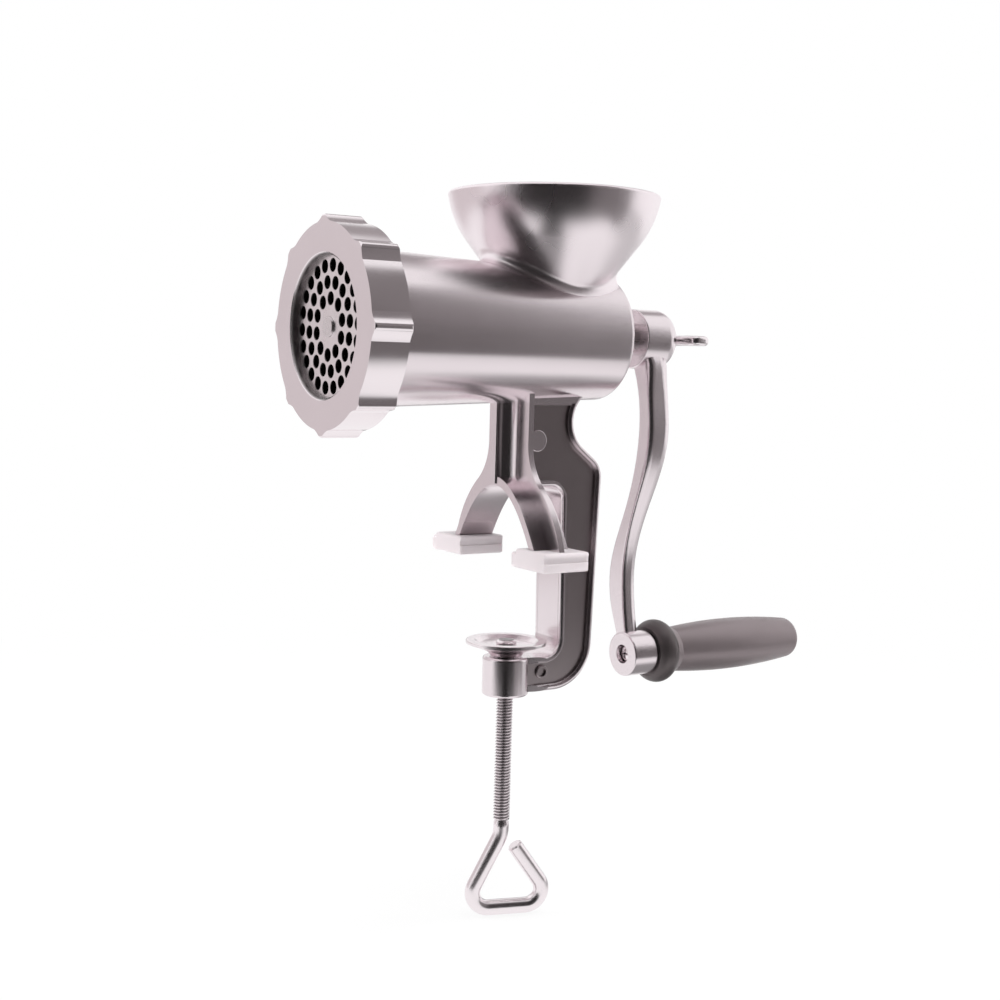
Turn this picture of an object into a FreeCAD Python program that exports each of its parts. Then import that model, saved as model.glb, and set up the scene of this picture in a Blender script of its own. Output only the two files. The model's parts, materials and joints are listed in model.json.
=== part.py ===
import FreeCAD, Part
import math
import os

# A hand crank meat grinder that clamps to a table edge.
# Millimetres, +Z up. The origin lies on the table top, on the clamp screw's axis.
# The barrel runs along Y: the meat leaves at -Y, and the crank is at +Y.

# Barrel, a slightly tapered tube
barrel_axis_z = 73.9
barrel_front_y = -66.7
barrel_rear_y = 33.9
barrel_front_radius = 24.6
barrel_rear_radius = 20.8
barrel_rear_rounding = 2.0
bore_front_radius = 21.6
bore_rear_radius = 17.4
rear_wall = 6.0
head_radius = 27.8
head_length = 8.0
rear_boss_radius = 10.2
rear_boss_length = 2.0
rear_boss_fillet = 1.0
bore_end_rounding = 2.5
cast_edge = 0.6

# Feed hopper, a round bowl whose cone runs straight down into the barrel
hopper_y = 14.0
hopper_rim_rise = 45.9
hopper_rim_radius = 35.0
hopper_brow_rise = 36.0
hopper_brow_radius = 33.0
hopper_brow_rounding = 33.0
hopper_foot_rise = 12.0
hopper_foot_radius = 14.55
hopper_wall = 2.6
hopper_lip_rounding = 1.0
hopper_blend = 3.0
throat_radius = 14.0
throat_edge_rounding = 9.0

# Outlet: holed plate, ring nut and the pin that keeps the plate from turning
plate_radius = 25.1
plate_thickness = 5.0
plate_seat_clearance = 0.2
plate_back_gap = 0.5
plate_hole_radius = 2.1
plate_hole_ring_radii = (8.5, 13.4, 18.4)
plate_hole_ring_counts = (10, 16, 22)
plate_hole_ring_angles = (85.2, 96.8, 84.3)
key_pin_radius = 1.3
key_pin_length = 6.0
key_pin_depth = 2.5
key_notch_clearance = 0.25
ring_front_lip = 2.4
ring_thickness = 12.6
ring_body_radius = 31.3
ring_mouth_radius = 21.5
ring_lug_radius = 33.4
ring_lug_count = 8
ring_lug_crest = 2.6
ring_lug_crown = 0.6
ring_lug_foot = 8.6
ring_lug_hollow_share = 0.25
ring_thread_clearance = 0.3
ring_edge = 0.7
ring_lug_edge = 0.7

# Knife and the stub that drives it
knife_gap = 0.3
knife_thickness = 6.0
knife_hub_radius = 8.0
knife_root_radius = 4.8
knife_tip_radius = 20.4
knife_blade_count = 4
knife_blade_root = 7.5
knife_blade_tip = 5.0
knife_blade_bevel = 2.6
stub_square = 8.0
stub_sink = 12.0
pilot_radius = 3.02
pilot_clearance = 0.08
pilot_proud = 0.7

# Auger worm
worm_front_core_radius = 7.5
worm_rear_core_radius = 9.5
worm_side_clearance = 0.9
worm_pitch = 21.0
worm_flight_root = 5.0
worm_flight_tip = 2.6
worm_flight_sink = 1.0
worm_flight_front_gap = 2.0
worm_flight_rear_gap = 6.0
thrust_washer_radius = 13.0
thrust_washer_thickness = 1.2
thrust_gap = 0.3

# Drive shaft and its bush
shaft_radius = 5.5
shaft_clearance = 0.05
shaft_sink = 30.0
drive_square = 8.0
shaft_end_gap = 0.5
shaft_hole_spare = 1.0
bush_radius = 8.0
bush_flange_radius = 9.4
bush_flange_thickness = 1.2

# Crank: hub, S shaped arm and end boss
crank_front_y = 48.9
crank_centres = 109.5
crank_hub_proud = 1.4
crank_hub_radius = 10.1
crank_hub_length = 14.7
crank_hub_edge = 0.5
crank_hub_rounding = 5.0
crank_boss_radius = 7.7
crank_boss_length = 10.0
crank_boss_rounding = 0.5
crank_upper_chord = 59.0
crank_bend = 27.7
arm_root_width = 15.0
arm_throat_width = 10.8
arm_upper_width = 7.6
arm_middle_width = 8.4
arm_lower_width = 8.6
arm_end_width = 9.2
arm_root_depth = 9.8
arm_upper_depth = 9.6
arm_middle_depth = 7.5
arm_lower_depth = 6.1
arm_front_rounding = 0.25
arm_back_rounding = 0.45
arm_station_shares = (0.02, 0.10, 0.18, 0.30, 0.52, 0.72, 0.88, 0.97)
arm_setbacks = (0.0, 0.0, 0.0, 0.2, 0.5, 0.8, 1.1, 1.3)

# Wing screw that holds the crank on the shaft
washer_radius = 4.9
washer_thickness = 1.2
wing_screw_radius = 2.5
wing_screw_clearance = 0.05
wing_screw_length = 13.0
wing_collar_radius = 4.6
wing_collar_length = 3.0
wing_collar_edge = 1.2
wing_root_sink = 2.0
wing_span = 26.0
wing_length = 10.0
wing_thickness = 3.4
wing_foot_share = 0.30
wing_ear_share = 0.45
wing_dip_share = 0.2
wing_dip = 1.2
wing_edge = 1.4
wing_foot_rounding = 2.0
wing_flank_rounding = 3.0
wing_tip_rounding = 3.2
wing_ear_rounding = 4.0
wing_dip_rounding = 2.0

# Turning grip on its bolt
grip_gap = 0.4
grip_length = 68.6
grip_front_radius = 8.6
grip_collar_radius = 11.1
grip_collar_length = 8.2
grip_neck_radius = 7.8
grip_neck_length = 11.0
grip_belly_radius = 9.1
grip_belly_at = 43.0
grip_end_radius = 7.4
grip_end_rounding = 3.4
grip_bolt_radius = 2.5
grip_bolt_head_radius = 2.9
grip_bolt_head_clearance = 0.4
grip_bolt_head_height = 2.2
grip_bolt_head_sink = 1.2
grip_bolt_slot_width = 1.0
grip_bolt_slot_depth = 0.8
grip_bolt_proud = 0.6
grip_sleeve_radius = 4.0
grip_sleeve_clearance = 0.06
grip_nut_pocket_radius = 5.2
grip_nut_pocket_depth = 9.0
grip_nut_flats = 8.0
grip_nut_height = 4.0
grip_nut_washer_radius = 4.7
grip_nut_washer_thickness = 0.8

# Stand: rib, gusset and arch at the front, C frame behind
rib_front_y = -7.0
rib_thickness = 2.4
rib_fillet = 4.5
rib_edge = 0.5
rib_root = 0.5
gusset_front_y = -1.4
gusset_thickness = 2.0
gusset_half_width = 11.5
gusset_flare_z = 40.0
gusset_waist_x = 18.5
gusset_waist_z = 25.0
gusset_foot_x = 30.6
gusset_hollow_share = (0.22, 0.45)
gusset_swell_share = (0.60, 0.42)
arch_front_y = -6.4
arch_depth = 13.2
arch_crown_z = 25.0
arch_half_span = 21.3
arch_thickness = 2.8
frame_half_width = 7.75
throat_y = 16.6
throat_top_z = 24.5
throat_top_rounding = 4.5
throat_lean = 0.8
throat_foot_rounding = 5.4
frame_root_drop = 15.9
frame_back_y = 31.8
frame_back_lean = 2.7
frame_shoulder_drop = 42.9
frame_shoulder_rounding = 8.0
frame_neck_y = 13.6
frame_neck_drop = 28.8
frame_neck_slope = 1.06
frame_neck_rounding = 11.0
frame_heel_rounding = 15.0
frame_arm_top_z = -32.0
frame_arm_height = 11.5
frame_tip_y = 4.8
frame_taper_y = 12.0
frame_edge = 1.2
panel_root_drop = 20.6
panel_step_insets = (1.4, 2.1)
panel_step_depths = (0.9, 1.8)
panel_mark_height = 0.8
panel_mark_edge = 0.35
panel_upper_mark_radius = 3.6
panel_upper_mark_y = 5.7
panel_upper_mark_z = 39.6
panel_lower_mark_radius = 2.3
panel_lower_mark_y = 10.2
panel_lower_mark_hole_radius = 1.5
panel_lower_mark_z = -37.2
clamp_boss_radius = 7.7
clamp_boss_bottom_z = -44.9
clamp_boss_edge = 0.9

# Soft pads that cap the two feet
pad_x = 24.5
pad_length = 16.4
pad_depth = 17.2
pad_height = 6.2
pad_floor = 2.0
pad_wall = 1.6
pad_rounding = 1.6
pad_lip_length = 4.0
pad_lip_height = 4.7
pad_lip_rounding = 1.5
pad_groove_depth = 0.6
pad_groove_bottom_z = 3.0
pad_groove_top_z = 5.2
foot_clearance = 0.05
foot_drop = 0.6
foot_root = 0.5

# Clamp screw: threaded rod bent into a loop, with a swivelling pressure disc
screw_radius = 2.8
screw_clearance = 0.05
screw_thread_end_z = -89.0
wire_radius = 2.6
loop_plane_turn = 18.0
loop_bend_z = -92.5
loop_bend_radius = 10.0
loop_corner_radius = 5.5
loop_left = 12.8
loop_right = 19.7
loop_bottom_z = -120.2
loop_end = 4.7
loop_end_z = -96.4
disc_radius = 13.4
disc_rim = 1.1
disc_neck_radius = 5.4
disc_flare = 1.0
disc_flare_rise = 1.4
disc_flare_rounding = 3.0
disc_height = 5.0
disc_dish = 1.3
disc_dish_radius = 9.0
disc_dish_slope = 1.5
disc_floor = 2.6
disc_edge = 0.4
disc_gap = 0.4
swivel_radius = 2.0
swivel_clearance = 0.06
swivel_head_radius = 3.4
swivel_head_height = 1.2
swivel_head_rounding = 0.9
swivel_play = 0.3

# Reach of cutting tools past a face
overcut = 1.0

# How near to the barrel's skin an edge lies to count as the hopper's crease
crease_tolerance = 0.01

X_AXIS = FreeCAD.Vector(1, 0, 0)
Y_AXIS = FreeCAD.Vector(0, 1, 0)
Z_AXIS = FreeCAD.Vector(0, 0, 1)

# Places that follow from the sizes above
hopper_rim_z = barrel_axis_z + hopper_rim_rise
hopper_brow_z = barrel_axis_z + hopper_brow_rise
hopper_foot_z = barrel_axis_z + hopper_foot_rise
ring_front_y = barrel_front_y - plate_back_gap - ring_front_lip
plate_front_y = ring_front_y + ring_front_lip
plate_back_y = plate_front_y + plate_thickness
knife_front_y = plate_back_y + knife_gap
knife_back_y = knife_front_y + knife_thickness
bore_rear_y = barrel_rear_y - rear_wall
worm_rear_y = bore_rear_y - thrust_gap - thrust_washer_thickness
boss_rear_y = barrel_rear_y + rear_boss_length
bush_rear_y = boss_rear_y + bush_flange_thickness
hub_front_y = crank_front_y - crank_hub_proud
crank_rear_y = hub_front_y + crank_hub_length
washer_front_y = crank_rear_y - washer_thickness
grip_axis_z = barrel_axis_z - crank_centres
grip_front_y = crank_front_y + crank_boss_length + grip_gap
grip_rear_y = grip_front_y + grip_length
disc_bottom_z = frame_arm_top_z + disc_gap
disc_top_z = disc_bottom_z + disc_height
foot_top_z = pad_height - foot_drop
leg_foot_z = foot_top_z - foot_root
frame_root_z = barrel_axis_z - frame_root_drop
frame_neck_z = barrel_axis_z - frame_neck_drop
frame_shoulder_z = barrel_axis_z - frame_shoulder_drop
frame_arm_bottom_z = frame_arm_top_z - frame_arm_height
panel_root_z = barrel_axis_z - panel_root_drop


def xy(z):
    return lambda u, v: FreeCAD.Vector(u, v, z)


def xz(y):
    return lambda u, v: FreeCAD.Vector(u, y, v)


def yz(x):
    return lambda u, v: FreeCAD.Vector(x, u, v)


def about_barrel(u, v):
    """A point at distance v from the barrel axis, at place u along it."""
    return FreeCAD.Vector(0, u, barrel_axis_z + v)


def about_grip(u, v):
    """A point at distance v from the grip axis, at place u along it."""
    return FreeCAD.Vector(0, u, grip_axis_z + v)


def rounded(corners, plane, closed=True):
    """A wire through corners (u, v, radius), each one rounded by a tangent arc."""
    count = len(corners)
    stops = []
    for i, (u, v, radius) in enumerate(corners):
        at = FreeCAD.Vector(u, v, 0)
        inner = closed or 0 < i < count - 1
        if not inner or radius == 0:
            stops.append((at, None, at))
            continue
        before = (FreeCAD.Vector(*corners[i - 1][:2], 0) - at).normalize()
        after = (FreeCAD.Vector(*corners[(i + 1) % count][:2], 0) - at).normalize()
        half = before.getAngle(after) / 2
        middle = (before + after).normalize()
        reach = radius / math.tan(half)
        tip = at + middle * (radius / math.sin(half) - radius)
        stops.append((at + before * reach, tip, at + after * reach))
    edges = []
    for i, (begin, tip, end) in enumerate(stops):
        if tip is not None:
            arc = Part.Arc(plane(begin.x, begin.y), plane(tip.x, tip.y), plane(end.x, end.y))
            edges.append(arc.toShape())
        if i + 1 == count and not closed:
            break
        following = stops[(i + 1) % count][0]
        if (following - end).Length > 1e-6:
            line = Part.LineSegment(plane(end.x, end.y), plane(following.x, following.y))
            edges.append(line.toShape())
    return Part.Wire(edges)


def turned(corners, plane=about_barrel, axis=Y_AXIS):
    """A solid of revolution from a closed profile of rounded corners."""
    return Part.Face(rounded(corners, plane)).revolve(plane(0, 0), axis, 360)


def rod(radius, start_y, end_y, z=barrel_axis_z, x=0):
    return Part.makeCylinder(radius, end_y - start_y, FreeCAD.Vector(x, start_y, z), Y_AXIS)


def upright(radius, bottom_z, top_z):
    return Part.makeCylinder(radius, top_z - bottom_z, FreeCAD.Vector(0, 0, bottom_z))


def box(x0, x1, y0, y1, z0, z1):
    return Part.makeBox(x1 - x0, y1 - y0, z1 - z0, FreeCAD.Vector(x0, y0, z0))


def square_bar(flats, start_y, end_y):
    half = flats / 2
    return box(-half, half, start_y, end_y, barrel_axis_z - half, barrel_axis_z + half)


def about_y(shape, angle):
    turned_shape = shape.copy()
    turned_shape.rotate(FreeCAD.Vector(0, 0, barrel_axis_z), Y_AXIS, angle)
    return turned_shape


def barrel_radius_at(y):
    span = barrel_rear_y - barrel_front_y
    return barrel_front_radius + (barrel_rear_radius - barrel_front_radius) * (y - barrel_front_y) / span


def bore_radius_at(y):
    span = bore_rear_y - barrel_front_y
    return bore_front_radius + (bore_rear_radius - bore_front_radius) * (y - barrel_front_y) / span


def barrel_skin():
    """The barrel's outside as one solid, with the threaded head and the rear boss."""
    head_end_y = barrel_front_y + head_length
    return turned([
        (barrel_front_y, 0, 0),
        (barrel_front_y, head_radius, cast_edge),
        (head_end_y, head_radius, 0),
        (head_end_y, barrel_radius_at(head_end_y), 0),
        (barrel_rear_y, barrel_rear_radius, barrel_rear_rounding),
        (barrel_rear_y, rear_boss_radius, rear_boss_fillet),
        (boss_rear_y, rear_boss_radius, cast_edge),
        (boss_rear_y, 0, 0),
    ])


def barrel_hollow():
    """Plate seat, tapered bore, bush hole and the hopper's throat."""
    seat_radius = plate_radius + plate_seat_clearance
    seat_end_y = plate_back_y + plate_back_gap
    seat = rod(seat_radius, barrel_front_y - overcut, seat_end_y)
    bore = turned([
        (seat_end_y, 0, 0),
        (seat_end_y, bore_radius_at(seat_end_y), 0),
        (bore_rear_y, bore_rear_radius, bore_end_rounding),
        (bore_rear_y, 0, 0),
    ])
    bush_hole = rod(bush_radius, bore_rear_y, boss_rear_y)
    return seat.fuse([bore, bush_hole, hopper_inside()])


def barrel():
    return barrel_skin().cut(barrel_hollow()).cut(plate_key_pin())


def barrel_taper():
    """The barrel's tapered tube alone, run on past its rear end."""
    end_y = barrel_rear_y + hopper_rim_radius
    return turned([
        (barrel_front_y, 0, 0),
        (barrel_front_y, barrel_front_radius, 0),
        (end_y, barrel_radius_at(end_y), 0),
        (end_y, 0, 0),
    ])


def hopper_axis_point(u, v):
    return FreeCAD.Vector(u, hopper_y, v)


def hopper_outside():
    return turned([
        (0, hopper_foot_z, 0),
        (hopper_foot_radius, hopper_foot_z, 0),
        (hopper_brow_radius, hopper_brow_z, hopper_brow_rounding),
        (hopper_rim_radius, hopper_rim_z, hopper_lip_rounding),
        (0, hopper_rim_z, 0),
    ], hopper_axis_point, axis=Z_AXIS)


def hopper_inside():
    """The bowl's hollow, one wall inside its outside, with the throat below it."""
    cone_lean = math.atan2(hopper_brow_radius - hopper_foot_radius, hopper_brow_z - hopper_foot_z)
    rim_lean = math.atan2(hopper_rim_radius - hopper_brow_radius, hopper_rim_z - hopper_brow_z)
    middle = (cone_lean + rim_lean) / 2
    inset = hopper_wall / math.cos((cone_lean - rim_lean) / 2)
    brow_radius = hopper_brow_radius - inset * math.cos(middle)
    brow_z = hopper_brow_z + inset * math.sin(middle)
    throat_z = brow_z - (brow_radius - throat_radius) / math.tan(cone_lean)
    return turned([
        (0, barrel_axis_z, 0),
        (throat_radius, barrel_axis_z, 0),
        (throat_radius, throat_z, throat_edge_rounding),
        (brow_radius, brow_z, hopper_brow_rounding - hopper_wall),
        (hopper_rim_radius - hopper_wall, hopper_rim_z + overcut, 0),
        (0, hopper_rim_z + overcut, 0),
    ], hopper_axis_point, axis=Z_AXIS)


def feed_hopper():
    """Bowl and cone, with a blend along the crease that stops at the barrel's rear rounding."""
    outside = hopper_outside()
    taper = barrel_taper()
    joined = taper.fuse(outside)
    crease = [edge for edge in joined.Edges if is_hopper_crease(edge)]
    blended = joined.makeFillet(hopper_blend, crease).cut(taper)
    reach = hopper_rim_radius + overcut
    blend_room = box(-reach, reach, barrel_front_y, barrel_rear_y - barrel_rear_rounding,
                     barrel_axis_z, hopper_rim_z + overcut)
    bowl = blended.common(blend_room).fuse(outside)
    return bowl.removeSplitter().cut(barrel_skin()).cut(hopper_inside())


def is_hopper_crease(edge):
    """True for an edge where the hopper's cone meets the barrel's skin."""
    for t in (0.1, 0.5, 0.9):
        span = edge.LastParameter - edge.FirstParameter
        at = edge.valueAt(edge.FirstParameter + t * span)
        off_axis = math.hypot(at.x, at.z - barrel_axis_z)
        if abs(off_axis - barrel_radius_at(at.y)) > crease_tolerance:
            return False
        if math.hypot(at.x, at.y - hopper_y) > hopper_rim_radius:
            return False
    return True


def plate_key_pin():
    start_y = plate_back_y - key_pin_depth
    return rod(key_pin_radius, start_y, start_y + key_pin_length, barrel_axis_z - plate_radius)


def rear_bush():
    sleeve = rod(bush_radius, bore_rear_y, boss_rear_y)
    flange = rod(bush_flange_radius, boss_rear_y, bush_rear_y)
    hole = rod(shaft_radius + shaft_clearance, bore_rear_y, bush_rear_y)
    return sleeve.fuse(flange).cut(hole).removeSplitter()


def hole_plate():
    plate = rod(plate_radius, plate_front_y, plate_back_y)
    holes = [rod(pilot_radius + pilot_clearance, plate_front_y, plate_back_y)]
    rings = zip(plate_hole_ring_radii, plate_hole_ring_counts, plate_hole_ring_angles)
    for ring_radius, count, start in rings:
        for i in range(count):
            angle = math.radians(start + 360 * i / count)
            x = ring_radius * math.cos(angle)
            z = barrel_axis_z + ring_radius * math.sin(angle)
            holes.append(rod(plate_hole_radius, plate_front_y, plate_back_y, z, x))
    notch_radius = key_pin_radius + key_notch_clearance
    holes.append(rod(notch_radius, plate_front_y, plate_back_y, barrel_axis_z - plate_radius))
    return plate.cut(holes)


def ring_outline(plane):
    """Round body with raised lugs, whose flanks run up in hollow curves to a rounded crest."""
    edges = []
    crest = math.asin(ring_lug_crest / 2 / ring_lug_radius)
    foot = math.asin(ring_lug_foot / 2 / ring_body_radius)
    hollow_radius = ring_body_radius + ring_lug_hollow_share * (ring_lug_radius - ring_body_radius)
    shoulder_radius = ring_lug_radius - ring_lug_crown

    def point(radius, angle):
        return plane(radius * math.sin(angle), barrel_axis_z + radius * math.cos(angle))

    for i in range(ring_lug_count):
        lug = 2 * math.pi * i / ring_lug_count
        following = lug + 2 * math.pi / ring_lug_count
        hollow = (crest + foot) / 2
        up = (point(ring_body_radius, lug - foot), point(hollow_radius, lug - hollow),
              point(shoulder_radius, lug - crest))
        top = (up[2], point(ring_lug_radius, lug), point(shoulder_radius, lug + crest))
        down = (top[2], point(hollow_radius, lug + hollow), point(ring_body_radius, lug + foot))
        gap = (down[2], point(ring_body_radius, (lug + following) / 2),
               point(ring_body_radius, following - foot))
        for arc in (up, top, down, gap):
            edges.append(Part.Arc(*arc).toShape())
    return Part.Wire(edges)


def ring_nut():
    blank = Part.Face(ring_outline(xz(ring_front_y))).extrude(Y_AXIS * ring_thickness)
    ring_rear_y = ring_front_y + ring_thickness
    envelope = turned([
        (ring_front_y, 0, 0),
        (ring_front_y, ring_lug_radius, ring_lug_edge),
        (ring_rear_y, ring_lug_radius, ring_lug_edge),
        (ring_rear_y, 0, 0),
    ])
    mouth = turned([
        (ring_front_y, 0, 0),
        (ring_front_y, ring_mouth_radius + ring_edge, 0),
        (ring_front_y + ring_edge, ring_mouth_radius, 0),
        (plate_front_y, ring_mouth_radius, 0),
        (plate_front_y, head_radius + ring_thread_clearance, 0),
        (ring_rear_y, head_radius + ring_thread_clearance, 0),
        (ring_rear_y, 0, 0),
    ])
    return blank.common(envelope).cut(mouth)


def knife_blade():
    """One blade, wide at the hub, with its trailing side bevelled at the back."""
    section = []
    for radius, width in ((knife_root_radius, knife_blade_root), (knife_tip_radius, knife_blade_tip)):
        z = barrel_axis_z + radius
        half = width / 2
        corners = ((-half, knife_front_y), (half, knife_front_y),
                   (half, knife_front_y + knife_thickness - knife_blade_bevel), (-half, knife_back_y))
        section.append(Part.makePolygon([FreeCAD.Vector(x, y, z) for x, y in corners + corners[:1]]))
    return Part.makeLoft(section, True, True)


def cross_knife():
    hub = rod(knife_hub_radius, knife_front_y, knife_back_y)
    blades = [about_y(knife_blade(), 360 * i / knife_blade_count) for i in range(knife_blade_count)]
    hole = square_bar(stub_square, knife_front_y, knife_back_y)
    return hub.fuse(blades).cut(hole).removeSplitter()


def knife_stub():
    """Square pin in the worm's nose, with a round pilot that turns in the plate."""
    square = square_bar(stub_square, knife_front_y, knife_back_y + stub_sink)
    pilot = rod(pilot_radius, plate_front_y - pilot_proud, knife_front_y)
    return square.fuse(pilot)


def worm_core():
    return turned([
        (knife_back_y, 0, 0),
        (knife_back_y, worm_front_core_radius, 0),
        (worm_rear_y, worm_rear_core_radius, 0),
        (worm_rear_y, 0, 0),
    ])


def worm_flight():
    """A left hand screw thread, turned down to the taper of the bore."""
    start_y = knife_back_y + worm_flight_front_gap
    end_y = worm_rear_y - worm_flight_rear_gap
    length = end_y - start_y
    reach = bore_front_radius
    root = worm_front_core_radius - worm_flight_sink
    spine = Part.makeHelix(worm_pitch, length - worm_flight_root, root, 0, True)
    half_root = worm_flight_root / 2
    half_tip = worm_flight_tip / 2
    corners = ((root, -half_root), (reach, -half_tip), (reach, half_tip), (root, half_root),
               (root, -half_root))
    profile = Part.makePolygon([FreeCAD.Vector(u, 0, v) for u, v in corners])
    flight = Part.Wire(spine).makePipeShell([profile], True, True)
    flight.rotate(FreeCAD.Vector(0, 0, 0), X_AXIS, -90)
    flight.translate(FreeCAD.Vector(0, start_y + half_root, barrel_axis_z))
    envelope = turned([
        (start_y - half_root, 0, 0),
        (start_y - half_root, bore_radius_at(start_y - half_root) - worm_side_clearance, 0),
        (end_y + half_root, bore_radius_at(end_y + half_root) - worm_side_clearance, 0),
        (end_y + half_root, 0, 0),
    ])
    return flight.common(envelope)


def auger_worm():
    socket = square_bar(stub_square, knife_back_y, knife_back_y + stub_sink)
    shaft_socket = rod(shaft_radius, worm_rear_y - shaft_sink, worm_rear_y)
    return worm_core().fuse(worm_flight()).cut([socket, shaft_socket])


def thrust_washer():
    washer = rod(thrust_washer_radius, worm_rear_y, worm_rear_y + thrust_washer_thickness)
    return washer.cut(rod(shaft_radius, worm_rear_y, worm_rear_y + thrust_washer_thickness))


def drive_shaft():
    """Round journal, then a squared end for the crank, with a threaded hole for the wing screw."""
    journal = rod(shaft_radius, worm_rear_y - shaft_sink, hub_front_y)
    end_y = washer_front_y - shaft_end_gap
    square = square_bar(drive_square, hub_front_y, end_y).common(rod(shaft_radius, hub_front_y, end_y))
    hole_end_y = crank_rear_y - wing_screw_length - shaft_hole_spare
    hole = rod(wing_screw_radius + wing_screw_clearance, hole_end_y, end_y)
    return journal.fuse(square).cut(hole)


def arm_centre(share):
    """Point and direction angle on the S curve, share 0 at the hub and 1 at the end boss."""
    upper = crank_upper_chord
    lower = crank_centres - crank_upper_chord
    bend = math.radians(crank_bend)
    run = share * crank_centres
    if run <= upper:
        chord, start_z, side = upper, barrel_axis_z, 1
    else:
        chord, start_z, side = lower, barrel_axis_z - upper, -1
        run -= upper
    radius = chord / 2 / math.sin(bend)
    along = run - chord / 2
    angle = math.asin(along / radius)
    x = side * (math.sqrt(radius * radius - along * along) - radius * math.cos(bend))
    return x, start_z - run, side * angle


def arm_section(share, width, depth, setback):
    """A bar section across the S curve, flat at the front and rounded at the back."""
    x, z, angle = arm_centre(share)
    across = FreeCAD.Vector(math.cos(angle), 0, math.sin(angle))
    centre = FreeCAD.Vector(x, crank_front_y + setback, z)
    half = width / 2
    front = min(width, depth) * arm_front_rounding
    back = min(width, depth) * arm_back_rounding

    def plane(u, v):
        return centre + across * u + Y_AXIS * v

    return rounded([(-half, 0, front), (half, 0, front), (half, depth, back), (-half, depth, back)], plane)


def crank_arm():
    widths = (arm_root_width, arm_throat_width, arm_upper_width, arm_upper_width,
              arm_middle_width, arm_lower_width, arm_lower_width, arm_end_width)
    depths = (arm_root_depth, arm_root_depth, arm_upper_depth, arm_upper_depth,
              arm_middle_depth, arm_lower_depth, arm_lower_depth, arm_lower_depth)
    stations = zip(arm_station_shares, widths, depths, arm_setbacks)
    bar = Part.makeLoft([arm_section(*station) for station in stations], True, False)
    hub = turned([
        (hub_front_y, 0, 0),
        (hub_front_y, crank_hub_radius, crank_hub_edge),
        (crank_rear_y, crank_hub_radius, crank_hub_rounding),
        (crank_rear_y, 0, 0),
    ])
    boss_rear = crank_front_y + crank_boss_length
    boss = turned([
        (crank_front_y, 0, 0),
        (crank_front_y, crank_boss_radius, crank_boss_rounding),
        (boss_rear, crank_boss_radius, crank_boss_rounding),
        (boss_rear, 0, 0),
    ], about_grip)
    square_hole = square_bar(drive_square, hub_front_y, crank_rear_y)
    square_hole = square_hole.common(rod(shaft_radius, hub_front_y, crank_rear_y))
    washer_recess = rod(washer_radius, washer_front_y, crank_rear_y)
    head_recess = rod(grip_bolt_head_radius + grip_bolt_head_clearance, crank_front_y,
                      crank_front_y + grip_bolt_head_sink + grip_bolt_head_height, grip_axis_z)
    bolt_hole = rod(grip_bolt_radius, crank_front_y, boss_rear, grip_axis_z)
    return bar.fuse([hub, boss]).cut([square_hole, washer_recess, head_recess, bolt_hole])


def crank_washer():
    hole_radius = wing_screw_radius + wing_screw_clearance
    hole = rod(hole_radius, washer_front_y, crank_rear_y)
    return rod(washer_radius, washer_front_y, crank_rear_y).cut(hole)


def wing_screw():
    """Screw with a collar and two flat wings for the fingers."""
    collar_rear_y = crank_rear_y + wing_collar_length
    shank = rod(wing_screw_radius, crank_rear_y - wing_screw_length, crank_rear_y)
    collar = turned([
        (crank_rear_y, 0, 0),
        (crank_rear_y, wing_collar_radius, 0),
        (collar_rear_y, wing_collar_radius, wing_collar_edge),
        (collar_rear_y, 0, 0),
    ])
    half = wing_span / 2
    ear = half * wing_ear_share
    dip = half * wing_dip_share
    foot_x = half * wing_foot_share
    front_y = collar_rear_y - wing_root_sink
    rear_y = front_y + wing_length
    flank_y = front_y + wing_length * wing_foot_share
    right = [
        (foot_x, front_y, wing_foot_rounding),
        (half, flank_y, wing_flank_rounding),
        (half, rear_y, wing_tip_rounding),
        (ear, rear_y, wing_ear_rounding),
        (dip, rear_y - wing_dip, wing_dip_rounding),
    ]
    left = [(-x, y, radius) for x, y, radius in reversed(right)]
    outline = rounded(right + left, xy(barrel_axis_z - wing_thickness / 2))
    blade = Part.Face(outline).extrude(Z_AXIS * wing_thickness)
    rim = [edge for face in blade.Faces if abs(face.normalAt(0, 0).z) > 0.5 for edge in face.Edges]
    blade = blade.makeFillet(wing_edge, rim)
    return shank.fuse([collar, blade])


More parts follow.
